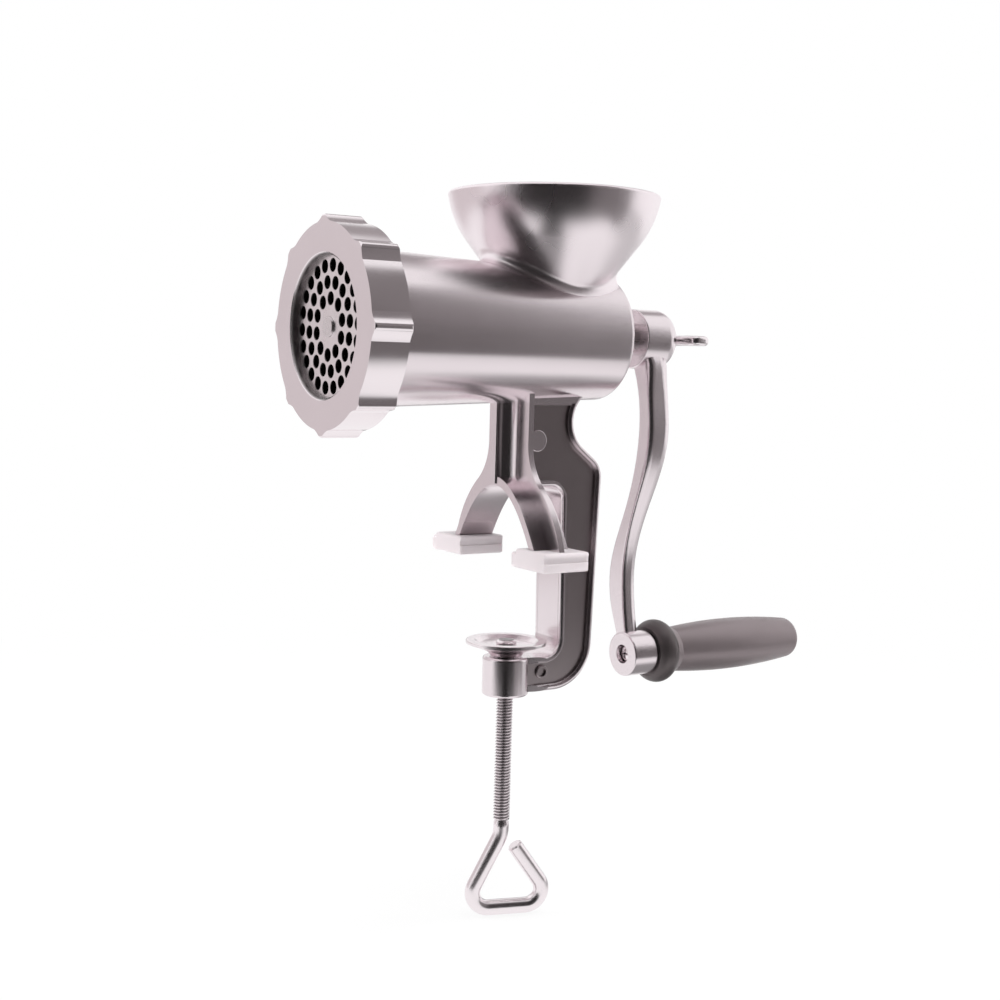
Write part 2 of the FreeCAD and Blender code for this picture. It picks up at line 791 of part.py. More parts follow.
def handle_grip():
    """Swelling plastic grip with a thick collar towards the crank."""
    collar_end_y = grip_front_y + grip_collar_length
    neck_y = grip_front_y + grip_neck_length
    belly_y = grip_front_y + grip_belly_at
    profile = [
        Part.LineSegment(about_grip(grip_front_y, 0), about_grip(grip_front_y, grip_front_radius)),
        Part.Arc(about_grip(grip_front_y, grip_front_radius),
                 about_grip((grip_front_y + collar_end_y) / 2, grip_collar_radius),
                 about_grip(collar_end_y, grip_front_radius)),
        Part.LineSegment(about_grip(collar_end_y, grip_front_radius), about_grip(neck_y, grip_neck_radius)),
    ]
    swell = Part.BSplineCurve()
    end_shoulder_y = grip_rear_y - grip_end_rounding
    swell.interpolate([about_grip(neck_y, grip_neck_radius), about_grip(belly_y, grip_belly_radius),
                       about_grip(end_shoulder_y, grip_end_radius)])
    end_face_radius = grip_end_radius - grip_end_rounding
    tip = grip_end_rounding * math.sin(math.radians(45))
    profile += [
        swell,
        Part.Arc(about_grip(end_shoulder_y, grip_end_radius),
                 about_grip(end_shoulder_y + tip, end_face_radius + tip),
                 about_grip(grip_rear_y, end_face_radius)),
        Part.LineSegment(about_grip(grip_rear_y, end_face_radius), about_grip(grip_rear_y, 0)),
        Part.LineSegment(about_grip(grip_rear_y, 0), about_grip(grip_front_y, 0)),
    ]
    body = Part.Face(Part.Wire([piece.toShape() for piece in profile])).revolve(about_grip(0, 0), Y_AXIS, 360)
    bore = rod(grip_sleeve_radius + grip_sleeve_clearance, grip_front_y, grip_rear_y, grip_axis_z)
    pocket = rod(grip_nut_pocket_radius, grip_rear_y - grip_nut_pocket_depth, grip_rear_y, grip_axis_z)
    return body.cut([bore, pocket])


def grip_stack_end():
    """Where the sleeve ends and the retaining washer begins."""
    return grip_rear_y - grip_nut_pocket_depth + grip_gap


def grip_sleeve():
    start_y = crank_front_y + crank_boss_length
    sleeve = rod(grip_sleeve_radius, start_y, grip_stack_end(), grip_axis_z)
    return sleeve.cut(rod(grip_bolt_radius, start_y, grip_stack_end(), grip_axis_z))


def grip_bolt():
    head_y = crank_front_y + grip_bolt_head_sink
    end_y = grip_stack_end() + grip_nut_washer_thickness + grip_nut_height + grip_bolt_proud
    head = rod(grip_bolt_head_radius, head_y, head_y + grip_bolt_head_height, grip_axis_z)
    shank = rod(grip_bolt_radius, head_y, end_y, grip_axis_z)
    half_slot = grip_bolt_slot_width / 2
    slot = box(-grip_bolt_head_radius, grip_bolt_head_radius, head_y, head_y + grip_bolt_slot_depth,
               grip_axis_z - half_slot, grip_axis_z + half_slot)
    return head.fuse(shank).cut(slot)


def grip_washer():
    start_y = grip_stack_end()
    end_y = start_y + grip_nut_washer_thickness
    return rod(grip_nut_washer_radius, start_y, end_y, grip_axis_z).cut(
        rod(grip_bolt_radius, start_y, end_y, grip_axis_z))


def grip_nut():
    start_y = grip_stack_end() + grip_nut_washer_thickness
    end_y = start_y + grip_nut_height
    corner = grip_nut_flats / math.sqrt(3)
    points = [(corner * math.cos(math.pi * i / 3), grip_axis_z + corner * math.sin(math.pi * i / 3), 0)
              for i in range(6)]
    prism = Part.Face(rounded(points, xz(start_y))).extrude(Y_AXIS * grip_nut_height)
    return prism.cut(rod(grip_bolt_radius, start_y, end_y, grip_axis_z))


def arch_curve(crown_z, half_span, foot_z, plane):
    """A parabola from foot to foot over the crown."""
    curve = Part.BezierCurve()
    curve.setPoles([plane(-half_span, foot_z), plane(0, 2 * crown_z - foot_z), plane(half_span, foot_z)])
    return curve.toShape()


def arch_band():
    plane = xz(arch_front_y)
    inner = arch_curve(arch_crown_z, arch_half_span, leg_foot_z, plane)
    outer = arch_curve(arch_crown_z + arch_thickness, arch_half_span + arch_thickness, leg_foot_z, plane)
    sides = [Part.LineSegment(plane(side * arch_half_span, leg_foot_z),
                              plane(side * (arch_half_span + arch_thickness), leg_foot_z)).toShape()
             for side in (-1, 1)]
    return Part.Face(Part.Wire(Part.__sortEdges__([inner, outer] + sides))).extrude(Y_AXIS * arch_depth)


def gusset():
    """Plate across the column that flares down to the two feet, cut out by the arch."""
    plane = xz(gusset_front_y)
    edges = [arch_curve(arch_crown_z, arch_half_span, leg_foot_z, plane)]
    hollow_x = gusset_half_width + gusset_hollow_share[0] * (gusset_waist_x - gusset_half_width)
    hollow_z = gusset_waist_z + gusset_hollow_share[1] * (gusset_flare_z - gusset_waist_z)
    swell_x = gusset_waist_x + gusset_swell_share[0] * (gusset_foot_x - gusset_waist_x)
    swell_z = gusset_waist_z - gusset_swell_share[1] * (gusset_waist_z - leg_foot_z)
    for side in (-1, 1):
        edges += [
            Part.LineSegment(plane(side * arch_half_span, leg_foot_z),
                             plane(side * gusset_foot_x, leg_foot_z)).toShape(),
            Part.Arc(plane(side * gusset_foot_x, leg_foot_z), plane(side * swell_x, swell_z),
                     plane(side * gusset_waist_x, gusset_waist_z)).toShape(),
            Part.Arc(plane(side * gusset_waist_x, gusset_waist_z), plane(side * hollow_x, hollow_z),
                     plane(side * gusset_half_width, gusset_flare_z)).toShape(),
            Part.LineSegment(plane(side * gusset_half_width, gusset_flare_z),
                             plane(side * gusset_half_width, barrel_axis_z)).toShape(),
        ]
    edges.append(Part.LineSegment(plane(-gusset_half_width, barrel_axis_z),
                                  plane(gusset_half_width, barrel_axis_z)).toShape())
    return Part.Face(Part.Wire(Part.__sortEdges__(edges))).extrude(Y_AXIS * gusset_thickness)


def column_rib():
    """Rib down the front of the column, curving out into the gusset."""
    half = rib_thickness / 2
    back_y = gusset_front_y + gusset_thickness / 2
    outer = half + rib_fillet + rib_root
    bottom_z = arch_crown_z + rib_root
    section = rounded([
        (-half, rib_front_y, rib_edge),
        (half, rib_front_y, rib_edge),
        (half, gusset_front_y, rib_fillet),
        (outer, gusset_front_y, 0),
        (outer, back_y, 0),
        (-outer, back_y, 0),
        (-outer, gusset_front_y, 0),
        (-half, gusset_front_y, rib_fillet),
    ], xy(bottom_z))
    return Part.Face(section).extrude(Z_AXIS * (barrel_axis_z - bottom_z))


def frame_corners():
    """Outline of the clamp's C from the barrel down to the screw's axis, as (y, z, rounding)."""
    start_y = gusset_front_y + gusset_thickness / 2
    root_y = frame_neck_y + frame_neck_slope * (frame_root_z - frame_neck_z)
    return [
        (start_y, frame_root_z, 0),
        (root_y, frame_root_z, 0),
        (frame_neck_y, frame_neck_z, frame_neck_rounding),
        (frame_back_y, frame_shoulder_z, frame_shoulder_rounding),
        (frame_back_y - frame_back_lean, frame_arm_bottom_z, frame_heel_rounding),
        (0, frame_arm_bottom_z, 0),
        (0, frame_arm_top_z, 0),
        (throat_y, frame_arm_top_z, throat_foot_rounding),
        (throat_y - throat_lean, throat_top_z, throat_top_rounding),
        (start_y, throat_top_z, 0),
    ]


def panel_pocket(side, inset, depth):
    """One step of the recessed panel, stopped short of the barrel."""
    floor = Part.Face(rounded(frame_corners(), yz(0))).makeOffset2D(-inset)
    floor.translate(X_AXIS * side * (frame_half_width - depth))
    pocket = floor.extrude(X_AXIS * side * (depth + overcut))
    reach_x = frame_half_width + 2 * overcut
    head = box(-reach_x, reach_x, 0, frame_back_y, panel_root_z - inset, barrel_axis_z)
    return pocket.cut(head)


def tip_relief(side):
    """What is taken off one side of the lower arm, so that it narrows towards the clamp boss."""
    tip_x = frame_half_width - panel_step_depths[-1]
    outer_x = frame_half_width + overcut
    outline = [(tip_x, -overcut), (tip_x, frame_tip_y), (frame_half_width, frame_taper_y),
               (outer_x, frame_taper_y), (outer_x, -overcut)]
    corners = [(side * x, y, 0) for x, y in outline]
    height = frame_arm_height + 2 * overcut
    return Part.Face(rounded(corners, xy(frame_arm_bottom_z - overcut))).extrude(Z_AXIS * height)


def panel_mark(radius, y, z, side):
    """A flat round mark left standing on the recessed panel, with its edge rounded."""
    at = FreeCAD.Vector(side * (frame_half_width - panel_step_depths[-1]), y, z)
    mark = Part.makeCylinder(radius, panel_mark_height, at, X_AXIS * side)
    top_x = abs(at.x) + panel_mark_height
    rim = [edge for edge in mark.Edges if abs(abs(edge.CenterOfMass.x) - top_x) < 1e-6]
    return mark.makeFillet(panel_mark_edge, rim)


def c_frame():
    """The clamp's C, with a recessed panel inside a stepped rim on each side."""
    face = Part.Face(rounded(frame_corners(), yz(-frame_half_width)))
    plate = face.extrude(X_AXIS * 2 * frame_half_width)
    outline = [edge for edge in plate.Edges if abs(abs(edge.CenterOfMass.x) - frame_half_width) < 1e-6]
    plate = plate.makeFillet(frame_edge, outline)
    pockets = [tip_relief(-1), tip_relief(1)]
    marks = []
    for side in (-1, 1):
        for inset, depth in zip(panel_step_insets, panel_step_depths):
            pockets.append(panel_pocket(side, inset, depth))
        marks.append(panel_mark(panel_upper_mark_radius, panel_upper_mark_y, panel_upper_mark_z, side))
        ring = panel_mark(panel_lower_mark_radius, panel_lower_mark_y, panel_lower_mark_z, side)
        hole_at = FreeCAD.Vector(side * (frame_half_width - panel_step_depths[-1]), panel_lower_mark_y,
                                 panel_lower_mark_z)
        marks.append(ring.cut(Part.makeCylinder(panel_lower_mark_hole_radius, panel_mark_height, hole_at,
                                                X_AXIS * side)))
    return plate.cut(pockets).fuse(marks)


def clamp_boss():
    edge = clamp_boss_edge
    return turned([
        (0, clamp_boss_bottom_z, 0),
        (clamp_boss_radius, clamp_boss_bottom_z, edge),
        (clamp_boss_radius, frame_arm_top_z, edge),
        (0, frame_arm_top_z, 0),
    ], xz(0), axis=Z_AXIS)


def foot(side, top_z, clearance=0.0):
    """The foot block under one end of the arch, which the soft pad caps."""
    half_x = pad_length / 2 - pad_wall + clearance
    half_y = pad_depth / 2 - pad_wall + clearance
    centre_x = side * pad_x
    return box(centre_x - half_x, centre_x + half_x, -half_y, half_y, pad_floor, top_z)


def clamp_frame():
    stand = c_frame().fuse([column_rib(), gusset(), arch_band(), clamp_boss()])
    stand = stand.fuse([foot(side, foot_top_z) for side in (-1, 1)])
    bore = upright(screw_radius + screw_clearance, clamp_boss_bottom_z, frame_arm_top_z)
    return stand.cut([barrel_skin(), bore])


def table_pad(side):
    half_x = pad_length / 2
    half_y = pad_depth / 2
    outline = rounded([
        (side * pad_x - half_x, -half_y, pad_rounding),
        (side * pad_x + half_x, -half_y, pad_rounding),
        (side * pad_x + half_x, half_y, pad_rounding),
        (side * pad_x - half_x, half_y, pad_rounding),
    ], xy(0))
    cap = Part.Face(outline).extrude(Z_AXIS * pad_height)
    lip_x = side * pad_x - half_x - pad_lip_length
    lip_outline = rounded([
        (lip_x, 0, pad_lip_rounding),
        (side * pad_x, 0, 0),
        (side * pad_x, pad_lip_height, 0),
        (lip_x, pad_lip_height, pad_lip_rounding),
    ], xz(-half_y + pad_rounding))
    lip = Part.Face(lip_outline).extrude(Y_AXIS * (pad_depth - 2 * pad_rounding))
    groove_x = side * pad_x + half_x - pad_groove_depth
    groove = box(groove_x, groove_x + pad_groove_depth + overcut, -half_y - overcut, half_y + overcut,
                 pad_groove_bottom_z, pad_groove_top_z)
    return cap.fuse(lip).removeSplitter().cut([foot(side, pad_height + overcut, foot_clearance), groove])


def loop_path():
    """Centre line of the bent part of the clamp screw, in its own plane."""
    turn = math.radians(loop_plane_turn)
    bottom = loop_bottom_z + wire_radius

    def plane(u, v):
        return FreeCAD.Vector(u * math.sin(turn), u * math.cos(turn), v)

    return rounded([
        (0, screw_thread_end_z + overcut, 0),
        (0, loop_bend_z, loop_bend_radius),
        (-loop_left, bottom, loop_corner_radius),
        (loop_right, bottom, loop_corner_radius),
        (loop_end, loop_end_z, 0),
    ], plane, closed=False)


def clamp_screw():
    """Threaded rod with a swivel end at the top, bent into a finger loop below."""
    shoulder_z = disc_top_z - disc_dish - disc_floor
    rod_part = upright(screw_radius, screw_thread_end_z, shoulder_z - swivel_play)
    start = FreeCAD.Vector(0, 0, screw_thread_end_z + overcut)
    section = Part.Wire(Part.makeCircle(wire_radius, start, Z_AXIS))
    loop = loop_path().makePipeShell([section], True, False)
    head_z = disc_top_z - disc_dish + swivel_play
    neck = upright(swivel_radius, shoulder_z - swivel_play, head_z)
    head = turned([
        (0, head_z, 0),
        (swivel_head_radius, head_z, 0),
        (swivel_head_radius, head_z + swivel_head_height, swivel_head_rounding),
        (0, head_z + swivel_head_height, 0),
    ], xz(0), axis=Z_AXIS)
    return rod_part.fuse([loop, neck, head])


def pressure_disc():
    """Flared disc with a shallow dish on top, free to swivel on the screw."""
    disc = turned([
        (0, disc_bottom_z, 0),
        (disc_neck_radius, disc_bottom_z, disc_edge),
        (disc_neck_radius + disc_flare, disc_bottom_z + disc_flare_rise, disc_flare_rounding),
        (disc_radius, disc_top_z - disc_rim, 0),
        (disc_radius, disc_top_z, disc_edge),
        (disc_dish_radius + disc_dish_slope, disc_top_z, disc_edge),
        (disc_dish_radius, disc_top_z - disc_dish, disc_edge),
        (0, disc_top_z - disc_dish, 0),
    ], xz(0), axis=Z_AXIS)
    socket_top_z = disc_top_z - disc_dish - disc_floor
    socket = upright(screw_radius + screw_clearance, disc_bottom_z, socket_top_z)
    hole = upright(swivel_radius + swivel_clearance, disc_bottom_z, disc_top_z)
    return disc.cut([socket, hole])


NODES = {
    "barrel": barrel,
    "feed_hopper": feed_hopper,
    "clamp_frame": clamp_frame,
    "table_pad_left": lambda: table_pad(-1),
    "table_pad_right": lambda: table_pad(1),
    "rear_bush": rear_bush,
    "plate_key_pin": plate_key_pin,
    "hole_plate": hole_plate,
    "ring_nut": ring_nut,
    "cross_knife": cross_knife,
    "knife_stub": knife_stub,
    "auger_worm": auger_worm,
    "thrust_washer": thrust_washer,
    "drive_shaft": drive_shaft,
    "crank_arm": crank_arm,
    "crank_washer": crank_washer,
    "wing_screw": wing_screw,
    "grip_bolt": grip_bolt,
    "grip_sleeve": grip_sleeve,
    "grip_washer": grip_washer,
    "grip_nut": grip_nut,
    "handle_grip": handle_grip,
    "clamp_screw": clamp_screw,
    "pressure_disc": pressure_disc,
}

os.makedirs("parts", exist_ok=True)
for name, make in NODES.items():
    shape = make()
    solids = len(shape.Solids)
    print(f"{name}: {solids} solid, {shape.Volume / 1000:.2f} cm3, valid {shape.isValid()}")
    shape.exportStep(f"parts/{name}.step")
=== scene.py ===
# %% [markdown]
# # Dressing a hand crank meat grinder
# The grinder's pieces already exist as solids: a cast aluminium body, a worm and a knife inside it, a holed
# plate, a ring nut, a crank with its grip, and a clamp screw. This lesson gives every surface its finish,
# models the few pieces that a plain solid can't show, such as threads, and sets up a small product studio
# around it.

# %% Load the solids
import bmesh
import bpy
import json
import math
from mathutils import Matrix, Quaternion, Vector


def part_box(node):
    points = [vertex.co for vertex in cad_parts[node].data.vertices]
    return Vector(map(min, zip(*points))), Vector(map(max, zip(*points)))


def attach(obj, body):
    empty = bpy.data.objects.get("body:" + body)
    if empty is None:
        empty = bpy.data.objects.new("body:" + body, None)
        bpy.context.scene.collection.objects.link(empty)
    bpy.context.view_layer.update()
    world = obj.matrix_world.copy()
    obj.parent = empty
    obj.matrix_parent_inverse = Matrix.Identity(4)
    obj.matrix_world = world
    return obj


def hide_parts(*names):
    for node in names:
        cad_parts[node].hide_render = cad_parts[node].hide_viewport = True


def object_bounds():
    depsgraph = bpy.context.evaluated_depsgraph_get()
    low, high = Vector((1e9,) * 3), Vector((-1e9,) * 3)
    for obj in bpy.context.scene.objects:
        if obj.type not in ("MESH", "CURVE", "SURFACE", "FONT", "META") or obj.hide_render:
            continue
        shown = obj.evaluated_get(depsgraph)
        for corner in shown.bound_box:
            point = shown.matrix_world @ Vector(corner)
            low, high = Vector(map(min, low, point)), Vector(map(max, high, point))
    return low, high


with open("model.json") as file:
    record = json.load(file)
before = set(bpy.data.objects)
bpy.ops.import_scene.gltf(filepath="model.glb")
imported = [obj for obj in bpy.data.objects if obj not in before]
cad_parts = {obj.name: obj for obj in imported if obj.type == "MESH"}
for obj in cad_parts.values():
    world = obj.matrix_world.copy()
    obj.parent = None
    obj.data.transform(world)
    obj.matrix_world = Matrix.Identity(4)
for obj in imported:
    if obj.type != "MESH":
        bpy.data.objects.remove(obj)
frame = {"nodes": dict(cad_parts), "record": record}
cad_box = [list(corner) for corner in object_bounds()]
nodes = frame["nodes"]
print("solids:", len(nodes), "box in metres:", cad_box)

# %% [markdown]
# ## Camera
# A product picture of this kind is taken from a little above the barrel, from the outlet's side. The lens is
# a short telephoto, so that the near ring nut doesn't grow too large against the far grip. The camera could
# be turned by hand until the outlines agree; here its place, aim and slight roll are written down as numbers.

# %% Camera
camera_data = bpy.data.cameras.new("camera")
camera_data.lens = 53.69
camera_data.sensor_width = 36.0
camera_data.clip_start = 0.01
camera = bpy.data.objects.new("camera", camera_data)
bpy.context.scene.collection.objects.link(camera)
camera.location = (0.40445, -0.27171, 0.06454)
aim = Vector((-0.00027, -0.00386, 0.01990))
camera_roll = math.radians(1.581)
look = aim - camera.location
camera.rotation_mode = "QUATERNION"
camera.rotation_quaternion = look.to_track_quat("-Z", "Y") @ Quaternion((0, 0, 1), camera_roll)
bpy.context.scene.camera = camera
print("camera stands", round(look.length, 3), "m from its aim")

# %% [markdown]
# ## Floor and background
# The studio is white all round. The floor is one wide sheet just under the finger loop. Plain white paper
# would need more light than the metal can take, so the sheet's material mixes two shaders: diffuse paper,
# which holds the soft shadow, and a white glow. A small helper builds such a sheet, because the dark cloths
# further down are a mixture of the same kind.

# %% Floor
def sheet_material(sheet, name, under_kind):
    """Give a studio sheet a glow laid over another shader, and return the tree and the nodes to set."""
    material = bpy.data.materials.new(name)
    material.use_nodes = True
    tree = material.node_tree
    tree.nodes.clear()
    under = tree.nodes.new(under_kind)
    glow = tree.nodes.new("ShaderNodeEmission")
    mix = tree.nodes.new("ShaderNodeMixShader")
    out = tree.nodes.new("ShaderNodeOutputMaterial")
    tree.links.new(under.outputs["BSDF"], mix.inputs[1])
    tree.links.new(glow.outputs["Emission"], mix.inputs[2])
    tree.links.new(mix.outputs["Shader"], out.inputs["Surface"])
    sheet.data.materials.append(material)
    return tree, under, glow, mix


floor_gap, floor_width, paper_grey = 0.0003, 12.0, 0.86
floor_z = cad_box[0][2] - floor_gap
bpy.ops.object.select_all(action="DESELECT")
bpy.ops.mesh.primitive_plane_add(size=floor_width, location=(0, 0, floor_z))
floor = bpy.context.object
floor.name = "floor"
tree, paper, white, floor_mix = sheet_material(floor, "floor_paper", "ShaderNodeBsdfDiffuse")
paper.inputs["Color"].default_value = (paper_grey, paper_grey, paper_grey, 1)
white.inputs["Strength"].default_value = 1.0
print("floor at", round(floor_z, 4))

# %% [markdown]
# The white share grows with the distance from the grinder, until the sheet runs into the white background
# without a seam. It only counts for rays that come from the camera, or from a mirror or glass. Diffuse light
# still sees plain paper, so the floor doesn't light the grinder from below.

# %% Fade the floor into the background
def maths(tree, operation, first, second):
    """A Math node with links or numbers on its two inputs, and its output socket."""
    node = tree.nodes.new("ShaderNodeMath")
    node.operation = operation
    for socket, value in zip(node.inputs, (first, second)):
        if isinstance(value, (int, float)):
            socket.default_value = value
        else:
            tree.links.new(value, socket)
    return node.outputs["Value"]


def vector_maths(tree, operation, vector, other=(0, 0, 0)):
    """A Vector Math node on a link and a fixed vector, and its output socket."""
    node = tree.nodes.new("ShaderNodeVectorMath")
    node.operation = operation
    tree.links.new(vector, node.inputs[0])
    node.inputs[1].default_value = other
    return node.outputs["Value" if operation in ("LENGTH", "DOT_PRODUCT") else "Vector"]


def seen_directly(tree):
    """1 for rays from the camera, from a mirror or through glass."""
    path = tree.nodes.new("ShaderNodeLightPath")
    mirror = maths(tree, "MAXIMUM", path.outputs["Is Camera Ray"], path.outputs["Is Glossy Ray"])
    return maths(tree, "MAXIMUM", mirror, path.outputs["Is Transmission Ray"])


fade_start, fade_end, white_share_near = 0.12, 0.55, 0.88
place = tree.nodes.new("ShaderNodeTexCoord").outputs["Object"]
fade = tree.nodes.new("ShaderNodeMapRange")
fade.inputs["From Min"].default_value = fade_start
fade.inputs["From Max"].default_value = fade_end
fade.inputs["To Min"].default_value = white_share_near
fade.inputs["To Max"].default_value = 1.0
tree.links.new(vector_maths(tree, "LENGTH", place), fade.inputs["Value"])
share = maths(tree, "MULTIPLY", fade.outputs["Result"], seen_directly(tree))
tree.links.new(share, floor_mix.inputs["Fac"])
print("floor nodes:", len(tree.nodes))

# %% [markdown]
# ## World
# What the camera and the mirrors see behind everything is white at strength 1. Diffuse surfaces get a
# quieter, even light from all round, which stands for the light that a white room throws back.

# %% World
world = bpy.data.worlds.new("white_room")
bpy.context.scene.world = world
world.use_nodes = True
tree = world.node_tree
background = tree.nodes["Background"]
background.inputs["Color"].default_value = (1, 1, 1, 1)
room_light = 0.40
strength = maths(tree, "MAXIMUM", seen_directly(tree), room_light)
tree.links.new(strength, background.inputs["Strength"])
bpy.context.scene.view_settings.view_transform = "Standard"
print("room light", room_light)

# %% [markdown]
# ## Lamps
# Four large soft boxes light what isn't metal: from the outlet's side, from above, from the crank's side and
# from behind. They are hidden from reflections, because a lamp's image on polished metal is a hard white
# patch. The metal shows the white room instead, as it does inside a photographer's light tent.

# %% Soft boxes
def soft_box(name, location, target, width, height, power):
    """A rectangular area lamp that faces a target."""
    lamp_data = bpy.data.lights.new(name, "AREA")
    lamp_data.shape = "RECTANGLE"
    lamp_data.size = width
    lamp_data.size_y = height
    lamp_data.energy = power
    lamp = bpy.data.objects.new(name, lamp_data)
    bpy.context.scene.collection.objects.link(lamp)
    lamp.location = location
    lamp.rotation_mode = "QUATERNION"
    lamp.rotation_quaternion = (Vector(target) - lamp.location).to_track_quat("-Z", "Y")
    lamp.visible_glossy = False
    print(name, "lamp at", [round(part, 2) for part in location])


soft_box("outlet_box", (-0.55, -0.85, 0.45), (0, 0, 0.03), 0.6, 0.8, 9.0)
soft_box("top_box", (0.15, 0.10, 0.95), (0, 0, 0.03), 0.9, 0.6, 8.0)
soft_box("side_box", (0.80, 0.45, 0.30), (0, 0, 0.02), 0.5, 0.6, 2.0)
soft_box("back_box", (0.25, 0.85, 0.60), (0, 0, 0.05), 0.5, 0.4, 4.0)

# %% [markdown]
# ## Flags
# In a white room alone, polished metal is white too and loses its form. A photographer hangs dark cards,
# called flags, beside the camera. Flat cards would show hard edges in the metal, so each flag here is a cloth
# that fades out into nothing. It is seen only in reflections, so it never hides anything. These helpers
# measure directions and make soft edges, and the last one turns a new mesh into such a cloth.

# %% Cloth helpers
def direction(degrees):
    """A level direction, counted from +X towards +Y."""
    turn = math.radians(degrees)
    return (math.cos(turn), math.sin(turn), 0)


def along(tree, vector, axis):
    """How far a vector points along an axis."""
    return vector_maths(tree, "DOT_PRODUCT", vector, axis)


def soft_step(tree, value, low, high):
    """0 below low, 1 above high, and a smooth curve in between."""
    step = tree.nodes.new("ShaderNodeMapRange")
    step.interpolation_type = "SMOOTHSTEP"
    step.inputs["From Min"].default_value = low
    step.inputs["From Max"].default_value = high
    tree.links.new(value, step.inputs["Value"])
    return step.outputs["Result"]


def soft_drop(tree, value, low, high):
    """1 below low, 0 above high, and a smooth curve in between."""
    return maths(tree, "SUBTRACT", 1.0, soft_step(tree, value, low, high))


def hang_cloth(name):
    """Make the new mesh a cloth that only reflections see; return its tree, place, glow and mix."""
    bpy.ops.object.transform_apply(location=True)
    cloth = bpy.context.object
    cloth.name = name
    cloth.visible_camera = False
    cloth.visible_diffuse = False
    cloth.visible_shadow = False
    cloth.visible_transmission = False
    tree, _, glow, mix = sheet_material(cloth, name + "_cloth", "ShaderNodeBsdfTransparent")
    return tree, tree.nodes.new("ShaderNodeTexCoord").outputs["Object"], glow, mix


print("cloth helpers ready")

# %% [markdown]
# Six flags stand round the grinder. Each one is a tube that is dark between two directions and fades beyond
# them, and towards its top. The one on the camera's side is nearly black and gives the barrel its dark bands.
# The others range from dark to pale grey.

# %% Flags
top_hem, foot_hem = 0.2, 0.001


def flag(name, radius, bottom, top, first, last, first_soft, last_soft, shade, rise=0.0):
    """A tube of cloth that is dark from one direction round to another, in degrees from +X towards +Y."""
    bpy.ops.object.select_all(action="DESELECT")
    bpy.ops.mesh.primitive_cylinder_add(vertices=96, radius=radius, depth=top - bottom,
                                        end_fill_type="NOTHING", location=(0, 0, (top + bottom) / 2))
    tree, place, glow, mix = hang_cloth(name)
    level = vector_maths(tree, "MULTIPLY", place, (1 / radius, 1 / radius, 0))
    start = soft_step(tree, along(tree, level, direction(first + 90)), *first_soft)
    end = soft_step(tree, along(tree, level, direction(last - 90)), *last_soft)
    height = along(tree, place, (0, 0, 1))
    hem = maths(tree, "MULTIPLY", soft_drop(tree, height, top - top_hem, top),
                soft_step(tree, height, bottom - foot_hem, bottom + rise))
    share = maths(tree, "MULTIPLY", maths(tree, "MULTIPLY", start, end), hem)
    tree.links.new(share, mix.inputs["Fac"])
    glow.inputs["Color"].default_value = (shade, shade * 0.93, shade * 0.94, 1)
    print(name, "from", first, "to", last, "degrees")


cloth_foot = floor_z + 0.002
flag("camera_flag", 0.36, cloth_foot, 0.60, -95, 12, (-0.25, 0.55), (-0.15, 0.15), 0.025)
flag("side_flag", 0.37, cloth_foot, 0.80, -40, 56, (-0.10, 0.20), (-0.02, 0.24), 0.22)
flag("low_flag", 0.34, cloth_foot, 0.20, 5, 60, (-0.10, 0.20), (-0.05, 0.20), 0.16)
flag("edge_flag", 0.50, cloth_foot, 0.10, 112, 170, (-0.10, 0.15), (-0.10, 0.15), 0.06)
flag("high_flag", 0.50, 0.28, 0.95, 105, 165, (-0.10, 0.20), (-0.10, 0.20), 0.35, rise=0.20)
flag("left_flag", 0.70, cloth_foot, 0.35, 180, -115, (-0.20, 0.20), (-0.20, 0.20), 0.66)

# %% [markdown]
# The floor has a flag of its own, because the undersides of the grinder mirror it. It is a round cloth,
# nearly white under the grinder. Four places on it are darker: a spot behind, under the crank; all that lies
# before the grinder, on the camera's side; all that lies beyond the crank; and a strip that runs out towards
# the camera.

# %% Floor flag
def from_line(tree, place, point, across):
    """How far a place lies from a line through a point, with 1 on the axes that lie across the line."""
    offset = vector_maths(tree, "MULTIPLY", vector_maths(tree, "SUBTRACT", place, point), across)
    return vector_maths(tree, "LENGTH", offset)


cloth_radius, cloth_hem, cloth_z = 0.90, 0.70, floor_z + 0.001
level = (1, 1, 0)
crank_spot = (0.01, 0.12, 0)
under_shade, behind_shade, before_share, beyond_share, strip_share = 0.97, 0.30, 0.05, 0.60, 0.06
bpy.ops.object.select_all(action="DESELECT")
bpy.ops.mesh.primitive_circle_add(vertices=96, radius=cloth_radius, fill_type="NGON",
                                  location=(0, 0, cloth_z))
tree, place, glow, mix = hang_cloth("floor_flag")
behind = soft_drop(tree, from_line(tree, place, crank_spot, level), 0.04, 0.10)
before = soft_step(tree, along(tree, place, direction(-25)), 0.14, 0.28)
beyond = soft_step(tree, along(tree, place, direction(75)), 0.22, 0.36)
ahead = soft_step(tree, along(tree, place, direction(-33)), 0.05, 0.10)
aside = maths(tree, "ABSOLUTE", along(tree, place, direction(57)), 0.0)
strip = maths(tree, "MULTIPLY", ahead, soft_drop(tree, aside, 0.03, 0.08))
grey = maths(tree, "SUBTRACT", under_shade, maths(tree, "MULTIPLY", behind, under_shade - behind_shade))
for zone, share in ((before, before_share), (beyond, beyond_share), (strip, strip_share)):
    kept = maths(tree, "SUBTRACT", 1.0, maths(tree, "MULTIPLY", zone, 1 - share))
    grey = maths(tree, "MULTIPLY", grey, kept)
tree.links.new(grey, glow.inputs["Color"])
cover = soft_drop(tree, from_line(tree, place, (0, 0, 0), level), cloth_hem, cloth_radius)
tree.links.new(cover, mix.inputs["Fac"])
print("floor flag nodes:", len(tree.nodes))

